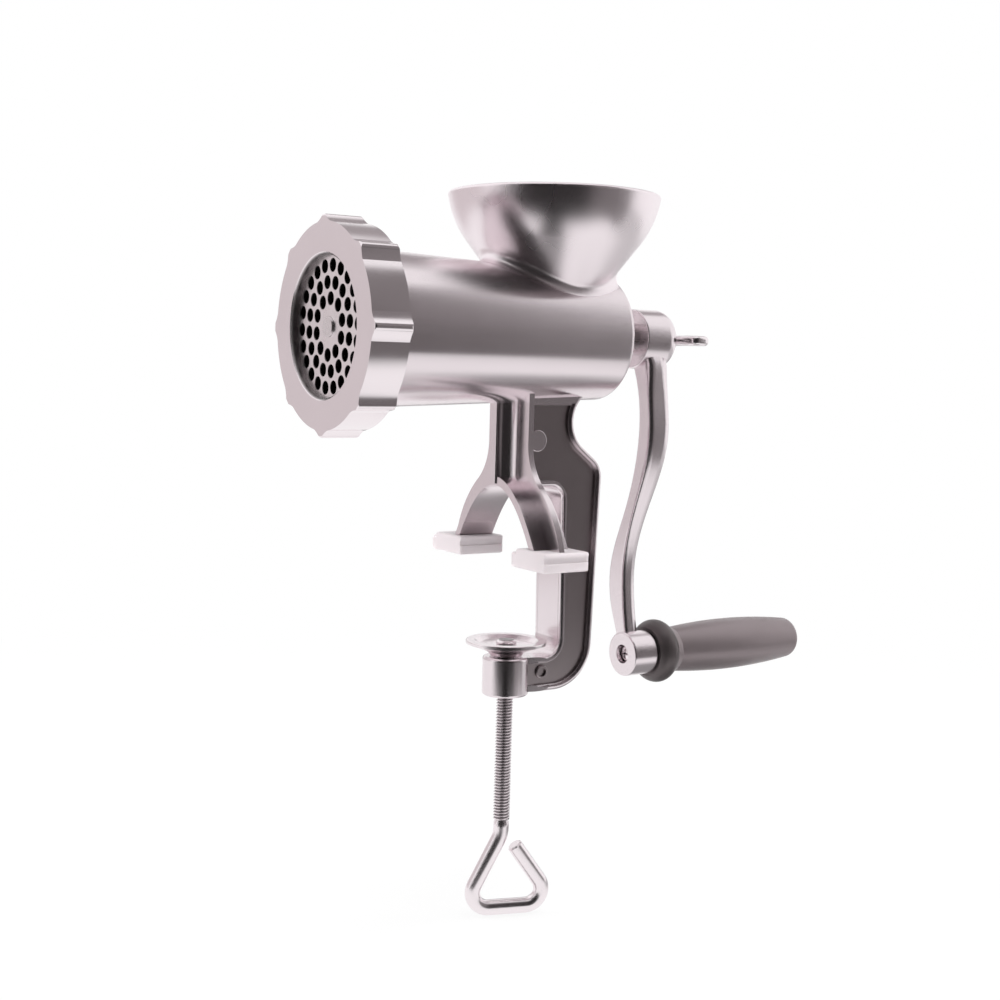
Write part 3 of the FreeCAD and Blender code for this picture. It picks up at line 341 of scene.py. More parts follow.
# %% [markdown]
# ## Skins
# Every finish here has the same two effects at its own strength: broad cloudy patches left by casting,
# moulding or polishing, and a fine grain that breaks up the highlights. They could be drawn anew in each
# material. They are built once instead, as a node group with named inputs, and each finish places the group
# with its own values.

# %% Group for a cloudy, grainy skin
cloudy_skin = bpy.data.node_groups.new("cloudy_skin", "ShaderNodeTree")
skin_inputs = {"Vector": "Vector", "Light": "Color", "Dark": "Color", "Cloud Scale": "Float",
               "Grain Scale": "Float", "Smooth": "Float", "Rough": "Float"}
skin_outputs = {"Color": "Color", "Roughness": "Float", "Height": "Float"}
for way, sockets in (("INPUT", skin_inputs), ("OUTPUT", skin_outputs)):
    for name, kind in sockets.items():
        cloudy_skin.interface.new_socket(name=name, socket_type="NodeSocket" + kind, in_out=way)
entry = cloudy_skin.nodes.new("NodeGroupInput")
leave = cloudy_skin.nodes.new("NodeGroupOutput")
cloud = cloudy_skin.nodes.new("ShaderNodeTexNoise")
cloud.inputs["Detail"].default_value = 2.0
grain = cloudy_skin.nodes.new("ShaderNodeTexNoise")
grain.inputs["Detail"].default_value = 2.0
tone = cloudy_skin.nodes.new("ShaderNodeMix")
tone.data_type = "RGBA"
gloss = cloudy_skin.nodes.new("ShaderNodeMapRange")
gloss.interpolation_type = "SMOOTHSTEP"
gloss.inputs["From Min"].default_value = 0.2
gloss.inputs["From Max"].default_value = 0.8
link = cloudy_skin.links.new
link(entry.outputs["Vector"], cloud.inputs["Vector"])
link(entry.outputs["Vector"], grain.inputs["Vector"])
link(entry.outputs["Cloud Scale"], cloud.inputs["Scale"])
link(entry.outputs["Grain Scale"], grain.inputs["Scale"])
link(cloud.outputs["Fac"], tone.inputs["Factor"])
link(entry.outputs["Dark"], tone.inputs["A"])
link(entry.outputs["Light"], tone.inputs["B"])
link(cloud.outputs["Fac"], gloss.inputs["Value"])
link(entry.outputs["Smooth"], gloss.inputs["To Min"])
link(entry.outputs["Rough"], gloss.inputs["To Max"])
link(tone.outputs["Result"], leave.inputs["Color"])
link(gloss.outputs["Result"], leave.inputs["Roughness"])
link(grain.outputs["Fac"], leave.inputs["Height"])
print("skin nodes:", len(cloudy_skin.nodes))

# %% [markdown]
# A finish is then a Principled shader with the group's outputs on its colour, roughness and bump. The stretch
# of the pattern is set with a Mapping node: equal on all axes for a casting, and squeezed on one axis for a
# ground surface, so that its grain runs across that axis.

# %% Finish maker
finishes = {}
bump_distance = 0.0002


def new_finish(name, light, dark, smooth, rough, cloud_scale, grain_scale, bump, stretch=(1, 1, 1)):
    """A finish on Object coordinates, with its colour, roughness and relief from the skin group."""
    material = bpy.data.materials.new(name)
    material.use_nodes = True
    tree = material.node_tree
    shader = tree.nodes["Principled BSDF"]
    coords = tree.nodes.new("ShaderNodeTexCoord")
    mapping = tree.nodes.new("ShaderNodeMapping")
    mapping.inputs["Scale"].default_value = stretch
    skin = tree.nodes.new("ShaderNodeGroup")
    skin.node_tree = cloudy_skin
    skin.name = "skin"
    values = {"Light": (*light, 1), "Dark": (*dark, 1), "Smooth": smooth, "Rough": rough,
              "Cloud Scale": cloud_scale, "Grain Scale": grain_scale}
    for socket, value in values.items():
        skin.inputs[socket].default_value = value
    relief = tree.nodes.new("ShaderNodeBump")
    relief.inputs["Strength"].default_value = bump
    relief.inputs["Distance"].default_value = bump_distance
    tree.links.new(coords.outputs["Object"], mapping.inputs["Vector"])
    tree.links.new(mapping.outputs["Vector"], skin.inputs["Vector"])
    tree.links.new(skin.outputs["Color"], shader.inputs["Base Color"])
    tree.links.new(skin.outputs["Roughness"], shader.inputs["Roughness"])
    tree.links.new(skin.outputs["Height"], relief.inputs["Height"])
    tree.links.new(relief.outputs["Normal"], shader.inputs["Normal"])
    finishes[name] = material
    print(name, "roughness", round(smooth, 2), "to", round(rough, 2))
    return shader


# %% [markdown]
# ## Metals
# The castings are satin polished, the ring nut is bright, the worm is left as cast, the plate and the inner
# steel are ground, and the screws are zinc plated. Each is one line: light and dark tone, roughness from and
# to, size of the clouds and of the grain, strength of the bump, and a stretch where the grain has a
# direction.

# %% Metals
metals = {
    "cast_aluminium": ((0.86, 0.780, 0.810), (0.80, 0.725, 0.752), 0.17, 0.24, 35, 1400, 0.003),
    "crank_aluminium": ((0.86, 0.780, 0.810), (0.80, 0.725, 0.752), 0.20, 0.27, 45, 1600, 0.003),
    "ring_aluminium": ((0.92, 0.845, 0.872), (0.87, 0.800, 0.825), 0.16, 0.22, 50, 1800, 0.002),
    "worm_aluminium": ((0.74, 0.72, 0.72), (0.58, 0.56, 0.56), 0.38, 0.52, 90, 900, 0.18),
    "plate_steel": ((0.92, 0.860, 0.875), (0.82, 0.765, 0.780), 0.26, 0.34, 40, 700, 0.010, (6, 1, 1)),
    "tool_steel": ((0.86, 0.815, 0.825), (0.74, 0.700, 0.710), 0.22, 0.32, 60, 900, 0.02, (1, 1, 5)),
    "zinc_steel": ((0.91, 0.840, 0.865), (0.87, 0.803, 0.827), 0.20, 0.26, 60, 1500, 0.003),
    "bush_steel": ((0.60, 0.58, 0.58), (0.50, 0.48, 0.48), 0.26, 0.38, 60, 1200, 0.02),
}
for name, values in metals.items():
    new_finish(name, *values).inputs["Metallic"].default_value = 1.0
print("metals:", sorted(finishes))

# %% [markdown]
# ## Plastics and fibre
# The grip is a moulding under a warm dark grey metallic lacquer, so it is mostly a dull dark mirror: light
# above and below, where it faces the room and the floor, and dark at the middle. It is smooth, so its bump is
# 0. The pads are soft white plastic that lets some light in. The thrust washer is pressed red-brown fibre
# with short flecks.

# %% Grip, pad and washer materials
mottle_scale, gloss_spread = 120, 0.06


def moulded(name, light, dark, roughness, grain_scale, bump):
    """A moulded plastic or pressed fibre with a mottled colour and a fine grain."""
    return new_finish(name, light, dark, roughness - gloss_spread, roughness + gloss_spread, mottle_scale,
                      grain_scale, bump)


grip_shader = moulded("grip_plastic", (0.262, 0.221, 0.229), (0.248, 0.208, 0.216), 0.38, 500, 0.0)
grip_shader.inputs["Metallic"].default_value = 0.75
pad_shader = moulded("pad_plastic", (0.70, 0.640, 0.660), (0.66, 0.600, 0.620), 0.42, 1200, 0.05)
pad_shader.inputs["Subsurface Weight"].default_value = 0.35
pad_shader.inputs["Subsurface Radius"].default_value = (1.0, 0.9, 0.9)
pad_shader.inputs["Subsurface Scale"].default_value = 0.003
moulded("washer_fibre", (0.42, 0.17, 0.09), (0.28, 0.10, 0.05), 0.7, 700, 0.3)
print("finishes:", len(finishes))

# %% [markdown]
# ## Painted shade in holes and hollows
# Inside a hole and round the inner wall of the ring, shade is painted into the metal as a darker tone. The
# solids have no faces marked for this. Instead a mask is worked out from Object coordinates: how far a point
# is from the barrel's axis, and where it lies along that axis. The dark tone is mixed over the metal where the
# mask is 1.

# %% Helpers for painted shade
axis_z = 0.0739


def open_finish(material):
    """A finish's node tree and its Object coordinates."""
    tree = material.node_tree
    return tree, tree.nodes["Texture Coordinate"].outputs["Object"]


def from_barrel_axis(tree, coords):
    """How far a point lies from the barrel's axis."""
    return from_line(tree, coords, (0, 0, axis_z), (1, 0, 1))


def paint_darker(material, mask, tone, roughness):
    """Lay a darker, rougher tone over a finish where the mask is 1."""
    tree = material.node_tree
    shader = tree.nodes["Principled BSDF"]
    skin = tree.nodes["skin"]
    over = tree.nodes.new("ShaderNodeMix")
    over.data_type = "RGBA"
    over.inputs["B"].default_value = (*tone, 1)
    tree.links.new(mask, over.inputs["Factor"])
    tree.links.new(skin.outputs["Color"], over.inputs["A"])
    tree.links.new(over.outputs["Result"], shader.inputs["Base Color"])
    rougher = tree.nodes.new("ShaderNodeMix")
    rougher.inputs["B"].default_value = roughness
    tree.links.new(mask, rougher.inputs["Factor"])
    tree.links.new(skin.outputs["Roughness"], rougher.inputs["A"])
    tree.links.new(rougher.outputs["Result"], shader.inputs["Roughness"])


print("barrel's axis at", axis_z)

# %% [markdown]
# The plate's holes are painted dark, as shade, between its two faces and inside its plain rim. The ring is
# painted dark, as shade, where it comes closest to the barrel's axis, which is the wall of its mouth.

# %% Dark walls of the plate's holes and of the ring's mouth
hole_start, hole_full = 0.0001, 0.0005
holes_radius, plain_rim_radius = 0.0210, 0.0214
mouth_radius, ring_face_radius = 0.0216, 0.0222
plate_low, plate_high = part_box("hole_plate")
tree, coords = open_finish(finishes["plate_steel"])
depth = along(tree, coords, (0, 1, 0))
behind_front = soft_step(tree, depth, plate_low.y + hole_start, plate_low.y + hole_full)
before_back = soft_drop(tree, depth, plate_high.y - hole_full, plate_high.y - hole_start)
inside_rim = soft_drop(tree, from_barrel_axis(tree, coords), holes_radius, plain_rim_radius)
hole_shade = maths(tree, "MULTIPLY", maths(tree, "MULTIPLY", behind_front, before_back), inside_rim)
# Painted shade: the walls of the plate's holes are made nearly black.
paint_darker(finishes["plate_steel"], hole_shade, (0.030, 0.026, 0.026), 0.6)
tree, coords = open_finish(finishes["ring_aluminium"])
mouth_shade = soft_drop(tree, from_barrel_axis(tree, coords), mouth_radius, ring_face_radius)
# Painted shade: the wall of the ring's mouth is made darker.
paint_darker(finishes["ring_aluminium"], mouth_shade, (0.20, 0.18, 0.182), 0.45)
print("holes dark from", round(plate_low.y, 4), "to", round(plate_high.y, 4))

# %% [markdown]
# The clamp frame's two recessed panels are made darker and duller than the rim round them.
# So is a small round mark low on the frame. The frame gets its own copy of the casting's finish. The mask
# picks the panels' two flat floors by their distance from the middle plane, and the mark by its place in the
# side view.

# %% Darker panels of the clamp frame
def casting_variant(name):
    """A copy of the casting's finish, with its tree and coordinates."""
    finish = finishes["cast_aluminium"].copy()
    finish.name = name
    return (finish, *open_finish(finish))


panel_x, panel_start_y, panel_full_y = 0.00595, 0.0008, 0.0012
floor_near, floor_off = 0.00004, 0.00012
mark_place, mark_radius, mark_edge = (0, 0.0102, -0.0372), 0.0023, 0.0025
frame_finish, tree, coords = casting_variant("frame_aluminium")
from_middle = maths(tree, "ABSOLUTE", along(tree, coords, (1, 0, 0)), 0.0)
from_floor = maths(tree, "ABSOLUTE", maths(tree, "SUBTRACT", from_middle, panel_x), 0.0)
on_floor = soft_drop(tree, from_floor, floor_near, floor_off)
behind_edge = soft_step(tree, along(tree, coords, (0, 1, 0)), panel_start_y, panel_full_y)
on_panel = maths(tree, "MULTIPLY", on_floor, behind_edge)
in_mark = soft_drop(tree, from_line(tree, coords, mark_place, (0, 1, 1)), mark_radius, mark_edge)
paint_darker(frame_finish, maths(tree, "MAXIMUM", on_panel, in_mark), (0.40, 0.350, 0.360), 0.30)
print("panels", panel_x * 2000, "mm apart")

# %% [markdown]
# The barrel is polished in a lathe, so its fine scratches run round it. They smear reflections along the
# barrel and leave them sharp across it. The Principled shader does this with Anisotropic, which needs a
# direction: a Tangent node that runs round the Y axis, turned by a quarter.

# %% Lathe-polished barrel
barrel_finish, tree, _ = casting_variant("barrel_aluminium")
shader = tree.nodes["Principled BSDF"]
shader.inputs["Anisotropic"].default_value = 0.80
shader.inputs["Anisotropic Rotation"].default_value = 0.25
round_barrel = tree.nodes.new("ShaderNodeTangent")
round_barrel.direction_type = "RADIAL"
round_barrel.axis = "Y"
tree.links.new(round_barrel.outputs["Tangent"], shader.inputs["Tangent"])
tree.nodes["skin"].inputs["Smooth"].default_value = 0.20
tree.nodes["skin"].inputs["Rough"].default_value = 0.27
print("barrel scratches run round the Y axis")

# %% [markdown]
# The hopper gets a paler copy of the casting's finish, as painted light, and a softer sheen from a higher
# roughness. The collar of the grip is painted darker than the rest of the grip, as painted shade, up to a soft
# line along its length.

# %% Paler hopper as painted light, and darker collar as painted shade
lightened_hopper_finish, tree, _ = casting_variant("hopper_aluminium_lightened")
lightened_hopper_skin = tree.nodes["skin"]
# Painted light: the hopper's tones are made paler than the casting's.
lightened_hopper_skin.inputs["Light"].default_value = (0.95, 0.865, 0.897, 1)
lightened_hopper_skin.inputs["Dark"].default_value = (0.90, 0.818, 0.849, 1)
lightened_hopper_skin.inputs["Smooth"].default_value = 0.25
lightened_hopper_skin.inputs["Rough"].default_value = 0.33
collar_length, collar_fade = 0.0078, 0.0012
collar_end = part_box("handle_grip")[0].y + collar_length
tree, coords = open_finish(finishes["grip_plastic"])
collar_shade = soft_drop(tree, along(tree, coords, (0, 1, 0)), collar_end, collar_end + collar_fade)
# Painted shade: the grip's collar is made darker.
paint_darker(finishes["grip_plastic"], collar_shade, (0.115, 0.098, 0.100), 0.40)
print("collar ends at", round(collar_end, 4))

# %% [markdown]
# ## Dress the solids
# Each solid's record names the finish that it has, so the finishes are handed out by that name. Only the
# three castings with a variant of their own are named here. The solids themselves stay as they are.

# %% Hand out the finishes
for part in frame["record"]["subparts"]:
    solid = nodes[part["node"]]
    solid.data.materials.clear()
    solid.data.materials.append(finishes[part["material_slot"]])
nodes["clamp_frame"].data.materials[0] = frame_finish
nodes["barrel"].data.materials[0] = barrel_finish
nodes["feed_hopper"].data.materials[0] = lightened_hopper_finish

# %% [markdown]
# ## Modelling by hand
# The next pieces show what the plain solids leave out. Each one starts from a primitive and is shaped in edit
# mode. A few helpers take up what repeats: starting from a circle, selecting by place, extruding, and drawing
# a circle up ring by ring as on a lathe.

# %% Edit mode helpers
def take_up(piece):
    """Select one piece alone and make it active."""
    bpy.ops.object.select_all(action="DESELECT")
    piece.select_set(True)
    bpy.context.view_layer.objects.active = piece


def add_circle(name, radius, z, vertices=32):
    """A circle of edges in a level plane, left in edit mode with all of it selected."""
    bpy.ops.object.select_all(action="DESELECT")
    bpy.ops.mesh.primitive_circle_add(vertices=vertices, radius=radius, location=(0, 0, z))
    bpy.ops.object.transform_apply(location=True)
    piece = bpy.context.object
    piece.name = name
    piece.data.name = name
    bpy.ops.object.mode_set(mode="EDIT")
    bpy.ops.mesh.select_all(action="SELECT")
    return piece


def pick_vertices(test):
    """Select, in edit mode, the vertices whose place passes the test."""
    bpy.ops.mesh.select_mode(type="VERT")
    bpy.ops.mesh.select_all(action="DESELECT")
    mesh = bmesh.from_edit_mesh(bpy.context.object.data)
    for vertex in mesh.verts:
        vertex.select = test(vertex.co)
    mesh.select_flush_mode()
    bmesh.update_edit_mesh(bpy.context.object.data)


def pick_faces(test):
    """Select, in edit mode, the faces whose centre and normal pass the test."""
    bpy.ops.mesh.select_mode(type="FACE")
    bpy.ops.mesh.select_all(action="DESELECT")
    mesh = bmesh.from_edit_mesh(bpy.context.object.data)
    for face in mesh.faces:
        face.select_set(test(face.calc_center_median(), face.normal))
    bmesh.update_edit_mesh(bpy.context.object.data)


def extrude(*move):
    """Extrude what is selected and move its new end."""
    bpy.ops.mesh.extrude_region_move(TRANSFORM_OT_translate={"value": move})


def draw_up(height, radius, rings):
    """Draw the selected circle of this height and radius up the Z axis, through rings of height and radius."""
    for ring_height, ring_radius in rings:
        extrude(0, 0, ring_height - height)
        share = ring_radius / radius
        bpy.ops.transform.resize(value=(share, share, 1))
        height, radius = ring_height, ring_radius


print("edit mode helpers ready")

# %% [markdown]
# Three more helpers finish a piece: one lays a piece that was turned about Z along the barrel, one makes two
# objects one, and the last closes the mesh work, gives the piece its finish and lets it ride on the body that
# it moves with.

# %% Finishing helpers
smooth_below = math.radians(35)
weld = 1e-6


def lay_down(piece, y, z):
    """Turn a piece made along Z so that it runs along +Y from the given place."""
    piece.rotation_euler = (math.radians(-90), 0, 0)
    piece.location = (0, y, z)
    bpy.ops.object.transform_apply(location=True, rotation=True)


def join(main, other):
    """Make two objects one, named after the first."""
    take_up(main)
    other.select_set(True)
    bpy.ops.object.join()


def hand_over(piece, body, slot, *stands_for):
    """Close the mesh work, give the piece its finish and let it ride on its body."""
    take_up(piece)
    bpy.ops.object.mode_set(mode="EDIT")
    bpy.ops.mesh.select_all(action="SELECT")
    bpy.ops.mesh.remove_doubles(threshold=weld)
    bpy.ops.mesh.normals_make_consistent(inside=False)
    bpy.ops.object.mode_set(mode="OBJECT")
    bpy.ops.object.shade_smooth_by_angle(angle=smooth_below)
    piece.data.materials.clear()
    piece.data.materials.append(finishes[slot])
    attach(piece, body)
    if stands_for:
        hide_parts(*stands_for)
    print(piece.name, len(piece.data.polygons), "faces")


# %% [markdown]
# ## Screw threads
# A thread is one small tooth carried round and along a rod. It could be a bump texture, but the clamp screw's
# outline shows its teeth. So one tooth is drawn as a bent line, vertex by vertex, and the Screw modifier
# winds it up.

# %% Thread helper
# One tooth's line, as moves outwards in tooth depths and upwards in pitches.
tooth_line = ((0, 0.12), (1, 0.30), (0, 0.16), (-1, 0.30), (0, 0.12))


def threaded_shell(name, root, crest, pitch, turns, start, steps=28):
    """A helical shell of blunt teeth round the Z axis, from start upwards."""
    bpy.ops.object.select_all(action="DESELECT")
    bpy.ops.mesh.primitive_plane_add(size=pitch)
    shell = bpy.context.object
    shell.name = name
    shell.data.name = name
    bpy.ops.object.mode_set(mode="EDIT")
    bpy.ops.mesh.select_all(action="SELECT")
    bpy.ops.mesh.merge(type="CENTER")
    bpy.ops.transform.translate(value=(root, 0, start))
    for out, up in tooth_line:
        extrude(out * (crest - root), 0, up * pitch)
    bpy.ops.object.mode_set(mode="OBJECT")
    wind = shell.modifiers.new("wind", "SCREW")
    wind.axis = "Z"
    wind.screw_offset = pitch
    wind.iterations = turns
    wind.steps = steps
    wind.render_steps = steps
    bpy.ops.object.modifier_apply(modifier="wind")
    print(name, turns, "turns of", pitch * 1000, "mm")
    return shell


# %% [markdown]
# ## Clamp screw
# The real screw is one length of zinc plated rod: threaded above, bent into a finger loop below, and riveted
# through the pressure disc at its top. A curve with a round bevel could make the loop, but bending it as a
# smith does is closer to the real thing: the end of the wire is extruded along each straight run and spun
# round each bend.

# %% Bend the finger loop
wire_radius = 0.0026
thread_end_z = -0.0883
# Corners of the wire in the loop's plane: across, up, and the radius of the bend. The last is the free end.
loop_corners = ((0, -0.0925, 0.0100), (-0.0128, -0.1176, 0.0055), (0.0197, -0.1176, 0.0055),
                (0.0047, -0.0964, 0))
steps_per_radian, fewest_steps = 8, 6
screw = add_circle("clamp_screw_rod", wire_radius, thread_end_z)
at = Vector((0, thread_end_z))
for i, (u, v, radius) in enumerate(loop_corners[:-1]):
    corner = Vector((u, v))
    ahead = (corner - at).normalized()
    after = (Vector(loop_corners[i + 1][:2]) - corner).normalized()
    turn = math.atan2(ahead.x * after.y - ahead.y * after.x, ahead.dot(after))
    reach = radius * math.tan(abs(turn) / 2)
    begin = corner - ahead * reach
    side = math.copysign(1, turn)
    centre = begin + Vector((-ahead.y, ahead.x)) * radius * side
    run = begin - at
    extrude(run.x, 0, run.y)
    steps = max(fewest_steps, round(abs(turn) * steps_per_radian))
    bpy.ops.mesh.spin(steps=steps, angle=turn, center=(centre.x, 0, centre.y), axis=(0, 1, 0))
    at = corner + after * reach
print("loop bent, the wire is at", [round(part, 4) for part in at])

# %% [markdown]
# The wire's free end is sawn flat with a small chamfer. Then the other end is picked again and drawn upwards
# into the core of the thread, the thin neck that turns in the disc, and the riveted head in the disc's dish.

# %% Free end, core, neck and rivet head
end = Vector(loop_corners[-1][:2])
chamfer, chamfer_shrink = 0.0005, 0.8
run = end - at
back = run.normalized() * chamfer
extrude((run - back).x, 0, (run - back).y)
extrude(back.x, 0, back.y)
bpy.ops.transform.resize(value=(chamfer_shrink, chamfer_shrink, chamfer_shrink))
bpy.ops.mesh.edge_face_add()
pick_vertices(lambda place: abs(place.z - thread_end_z) < weld and abs(place.x) < 0.003)
core_radius, neck_radius, rivet_radius = 0.00228, 0.0020, 0.0034
rings = ((thread_end_z + 0.0006, core_radius), (-0.0308, core_radius), (-0.0307, neck_radius),
         (-0.0276, neck_radius), (-0.0276, rivet_radius), (-0.0272, rivet_radius), (-0.0267, 0.0030),
         (-0.0264, 0.0022))
draw_up(thread_end_z, wire_radius, rings)
bpy.ops.mesh.edge_face_add()
bpy.ops.object.mode_set(mode="OBJECT")
print("rod drawn up to", rings[-1][0])

# %% [markdown]
# The thread is wound round the core as a shell and joined to the rod. The loop was bent in the XZ plane,
# where its sums are short, so the whole screw is now turned about its axis, to where the loop stands at rest.

# %% Wind the thread and turn the loop's plane
screw_pitch, thread_root, thread_crest, thread_turns = 0.001, 0.0023, 0.0028, 57
thread_start_z = thread_end_z + 0.0003
thread = threaded_shell("clamp_thread", thread_root, thread_crest, screw_pitch, thread_turns, thread_start_z)
join(screw, thread)
loop_plane = math.radians(72)
screw.rotation_euler = (0, 0, loop_plane)
bpy.ops.object.transform_apply(rotation=True)
hand_over(screw, "screw", "zinc_steel", "clamp_screw")

# %% [markdown]
# Shade is painted into the grooves of the thread. A copy of the zinc finish is darkened there, close to the
# screw's axis and above the lower end of the thread, so that each turn reads as a dark line.

# %% Painted shade in the grooves of the clamp screw
groove_radius, unshaded_radius = 0.00238, 0.00272
groove_start_z, groove_full_z = thread_end_z + 0.0005, thread_end_z + 0.0015
shaded_groove_finish = finishes["zinc_steel"].copy()
shaded_groove_finish.name = "zinc_thread_shaded"
tree, coords = open_finish(shaded_groove_finish)
groove_shade = soft_drop(tree, from_line(tree, coords, (0, 0, 0), (1, 1, 0)), groove_radius, unshaded_radius)
on_thread = soft_step(tree, along(tree, coords, (0, 0, 1)), groove_start_z, groove_full_z)
# Painted shade: each turn of the thread gets a dark line in its groove.
paint_darker(shaded_groove_finish, maths(tree, "MULTIPLY", groove_shade, on_thread), (0.34, 0.307, 0.318), 0.40)
screw.data.materials[0] = shaded_groove_finish
print("grooves dark above", round(thread_end_z, 4))

# %% [markdown]
# ## Wing screw
# The wings and collar of the solid are right, but its shank is a plain pin. The wings could be modelled anew,
# but a copy keeps their shape exactly: the solid's mesh is copied, its loose triangles are merged, and the
# shank is cut off under the collar with Bisect.

# %% Wings without their shank
wing_low, wing_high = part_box("wing_screw")
wing_height, cut_under = 0.0110, 0.0002
collar_y = wing_high.y - wing_height
wing = nodes["wing_screw"].copy()
wing.data = nodes["wing_screw"].data.copy()
wing.name = "wing_screw_threaded"
for key in list(wing.keys()):
    del wing[key]
wing.parent = None
bpy.context.scene.collection.objects.link(wing)
take_up(wing)
bpy.ops.object.mode_set(mode="EDIT")
bpy.ops.mesh.select_all(action="SELECT")
bpy.ops.mesh.remove_doubles(threshold=weld)
bpy.ops.mesh.bisect(plane_co=(0, collar_y - cut_under, axis_z), plane_no=(0, 1, 0), use_fill=True,
                    clear_inner=True)
bpy.ops.object.mode_set(mode="OBJECT")
print("wings cut at", round(collar_y, 4), "shank ends at", round(wing_low.y, 4))

# %% [markdown]
# The new shank is a core with a small point, drawn up from a circle, and a fine thread wound round it. It is
# made along Z, where the thread helper works, then laid down along the barrel's axis and joined to the wings.

# %% Wing screw's shank
shank_length = collar_y - wing_low.y
point_radius, point_length, shank_root, shank_crest, wing_pitch = 0.0017, 0.0004, 0.0021, 0.0025, 0.0008
thread_short = 0.001
shank = add_circle("wing_shank", point_radius, 0.0, 24)
bpy.ops.mesh.edge_face_add()
draw_up(0.0, point_radius, ((point_length, shank_root), (shank_length, shank_root)))
bpy.ops.object.mode_set(mode="OBJECT")
wing_turns = round((shank_length - thread_short) / wing_pitch)
shank_thread = threaded_shell("wing_thread", shank_root, shank_crest, wing_pitch, wing_turns, point_length, 24)
join(shank, shank_thread)
lay_down(shank, wing_low.y, axis_z)
join(wing, shank)
hand_over(wing, "wing", "zinc_steel", "wing_screw")

# %% [markdown]
# ## Outlet thread
# The ring nut screws onto a coarse cast thread at the barrel's mouth. It only shows when the ring is backed
# off. Its two turns are a low, wide tooth wound round the barrel's head, just inside the ring's bore.

# %% Thread on the barrel's head
outlet_root, outlet_crest, outlet_pitch, outlet_turns = 0.02775, 0.02802, 0.003, 2
outlet_start_y = -0.0656
coarse = threaded_shell("outlet_thread", outlet_root, outlet_crest, outlet_pitch, outlet_turns, 0.0, 96)
lay_down(coarse, outlet_start_y, axis_z)
hand_over(coarse, "frame", "cast_aluminium")

# %% [markdown]
# ## Table pads
# Two soft white caps are pulled over the feet and keep the table from being scratched. Each one is a block
# with rounded edges, a low lip on one side, a groove along the other, and a hollow that fits the foot, with a
# slot above it that closes round the leg. The block is cut and extruded in edit mode, and all its edges are
# bevelled while it is still whole, because a bevel often fails where a hollow has left thin walls.

# %% Pad block
lip_length, lip_height, lip_taper = 0.0040, 0.0047, 0.86
edge_round, edge_segments = 0.0010, 4


def pad_block(name, low, high):
    """A rounded block with a lip towards -X, filling the box from low to high."""
    block_low_x = low.x + lip_length
    centre = ((block_low_x + high.x) / 2, (low.y + high.y) / 2, (low.z + high.z) / 2)
    bpy.ops.object.select_all(action="DESELECT")
    bpy.ops.mesh.primitive_cube_add(size=1.0, location=centre)
    block = bpy.context.object
    block.name = name
    block.data.name = name
    block.scale = (high.x - block_low_x, high.y - low.y, high.z - low.z)
    bpy.ops.object.transform_apply(location=True, scale=True)
    bpy.ops.object.mode_set(mode="EDIT")
    bpy.ops.mesh.select_all(action="SELECT")
    bpy.ops.mesh.bisect(plane_co=(0, 0, lip_height), plane_no=(0, 0, 1))
    pick_faces(lambda place, normal: normal.x < -0.9 and place.z < lip_height)
    extrude(-lip_length, 0, 0)
    bpy.ops.transform.resize(value=(1, lip_taper, 1), center_override=(low.x, centre[1], 0))
    bpy.ops.mesh.select_all(action="SELECT")
    bpy.ops.mesh.normals_make_consistent(inside=False)
    bpy.ops.mesh.select_all(action="DESELECT")
    bpy.ops.mesh.select_mode(type="EDGE")
    bpy.ops.mesh.edges_select_sharp(sharpness=math.radians(40))
    bpy.ops.mesh.bevel(offset=edge_round, segments=edge_segments, profile=0.5, clamp_overlap=True)
    bpy.ops.object.mode_set(mode="OBJECT")
    print(name, len(block.data.polygons), "faces before cutting")
    return block


# %% [markdown]
# The hollow for the foot, the slot round the leg and its web, and the groove opposite the lip are then taken
# out with Boolean modifiers. The two pads aren't mirror images: both have their lip on the same side, while
# the feet and legs that they hold do mirror each other, so only those places change sign.

# %% Cut both pads and hand them over
def cut_box(piece, low, high):
    """Take a box out of a piece."""
    bpy.ops.object.select_all(action="DESELECT")
    bpy.ops.mesh.primitive_cube_add(size=1.0, location=[(a + b) / 2 for a, b in zip(low, high)])
    cutter = bpy.context.object
    cutter.scale = [b - a for a, b in zip(low, high)]
    bpy.ops.object.transform_apply(location=True, scale=True)
    bpy.context.view_layer.objects.active = piece
    cut = piece.modifiers.new("cut", "BOOLEAN")
    cut.operation = "DIFFERENCE"
    cut.object = cutter
    cut.solver = "EXACT"
    bpy.ops.object.modifier_apply(modifier="cut")
    bpy.data.objects.remove(cutter, do_unlink=True)


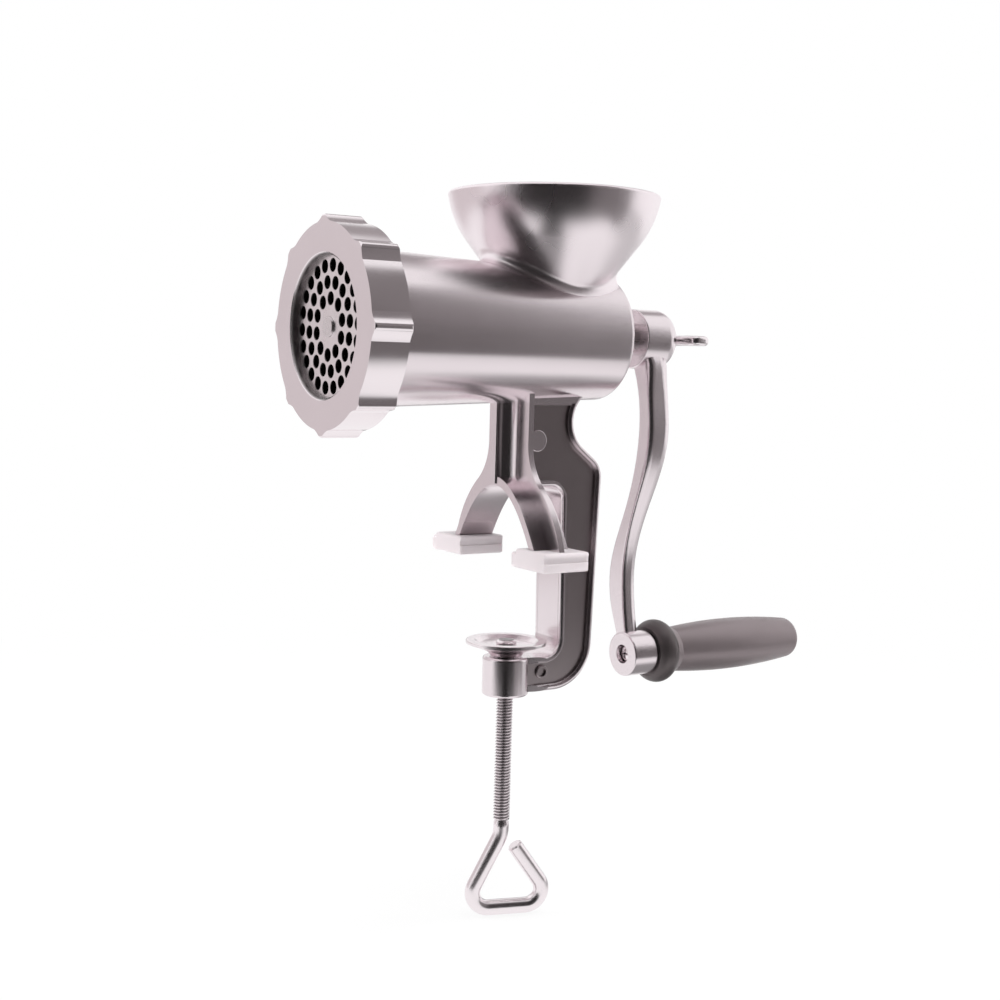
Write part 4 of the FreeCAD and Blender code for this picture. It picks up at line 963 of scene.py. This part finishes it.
foot_x, foot_half_x, foot_half_y, foot_floor, foot_top = 0.0245, 0.00665, 0.00705, 0.0020, 0.00565
leg_inner, leg_outer, leg_front, leg_back = 0.0205, 0.0244, -0.0066, 0.0070
web_end, web_front, web_back = 0.0309, -0.0016, 0.0008
groove_depth, groove_low, groove_high = 0.0006, 0.0030, 0.0048
past = 0.001
for side, name in ((-1, "table_pad_left"), (1, "table_pad_right")):
    low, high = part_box(name)
    pad = pad_block(name + "_cap", low, high)
    middle, top = side * foot_x, high.z + past
    cut_box(pad, (middle - foot_half_x, -foot_half_y, foot_floor),
            (middle + foot_half_x, foot_half_y, foot_top))
    for outer, front, rear in ((leg_outer, leg_front, leg_back), (web_end, web_front, web_back)):
        near, far = sorted((side * leg_inner, side * outer))
        cut_box(pad, (near, front, foot_top - past), (far, rear, top))
    cut_box(pad, (high.x - groove_depth, low.y - past, groove_low),
            (high.x + past, high.y + past, groove_high))
    hand_over(pad, "frame", "pad_plastic", name)

# %% [markdown]
# ## Grip bolt
# The bolt that carries the grip has a low domed head with a cross recess, sunk in the crank's end boss. The
# solid only has a flat slotted head. The bolt's outline is drawn up ring by ring from one circle, as on a
# lathe, and two narrow boxes cut the cross.

# %% Domed bolt with a cross recess
bolt_low, bolt_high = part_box("grip_bolt")
bolt_z = (bolt_low.z + bolt_high.z) / 2
bolt_length = bolt_high.y - bolt_low.y
crown_radius, head_radius, head_height, shank_radius = 0.0008, 0.00285, 0.0022, 0.0025
cross_length, cross_width, cross_depth = 0.0017, 0.00042, 0.0012
bolt = add_circle("grip_bolt_domed", crown_radius, 0.0, 40)
bpy.ops.mesh.edge_face_add()
draw_up(0.0, crown_radius, (
    (0.00012, 0.0015), (0.00032, 0.0021), (0.00062, 0.0026), (0.0009, head_radius), (head_height, head_radius),
    (head_height, shank_radius), (bolt_length - 0.0004, shank_radius), (bolt_length, 0.0021)))
bpy.ops.object.mode_set(mode="OBJECT")
lay_down(bolt, bolt_low.y, bolt_z)
for half_x, half_z in ((cross_length, cross_width), (cross_width, cross_length)):
    cut_box(bolt, (-half_x, bolt_low.y - past, bolt_z - half_z),
            (half_x, bolt_low.y + cross_depth, bolt_z + half_z))
hand_over(bolt, "crank", "zinc_steel", "grip_bolt")
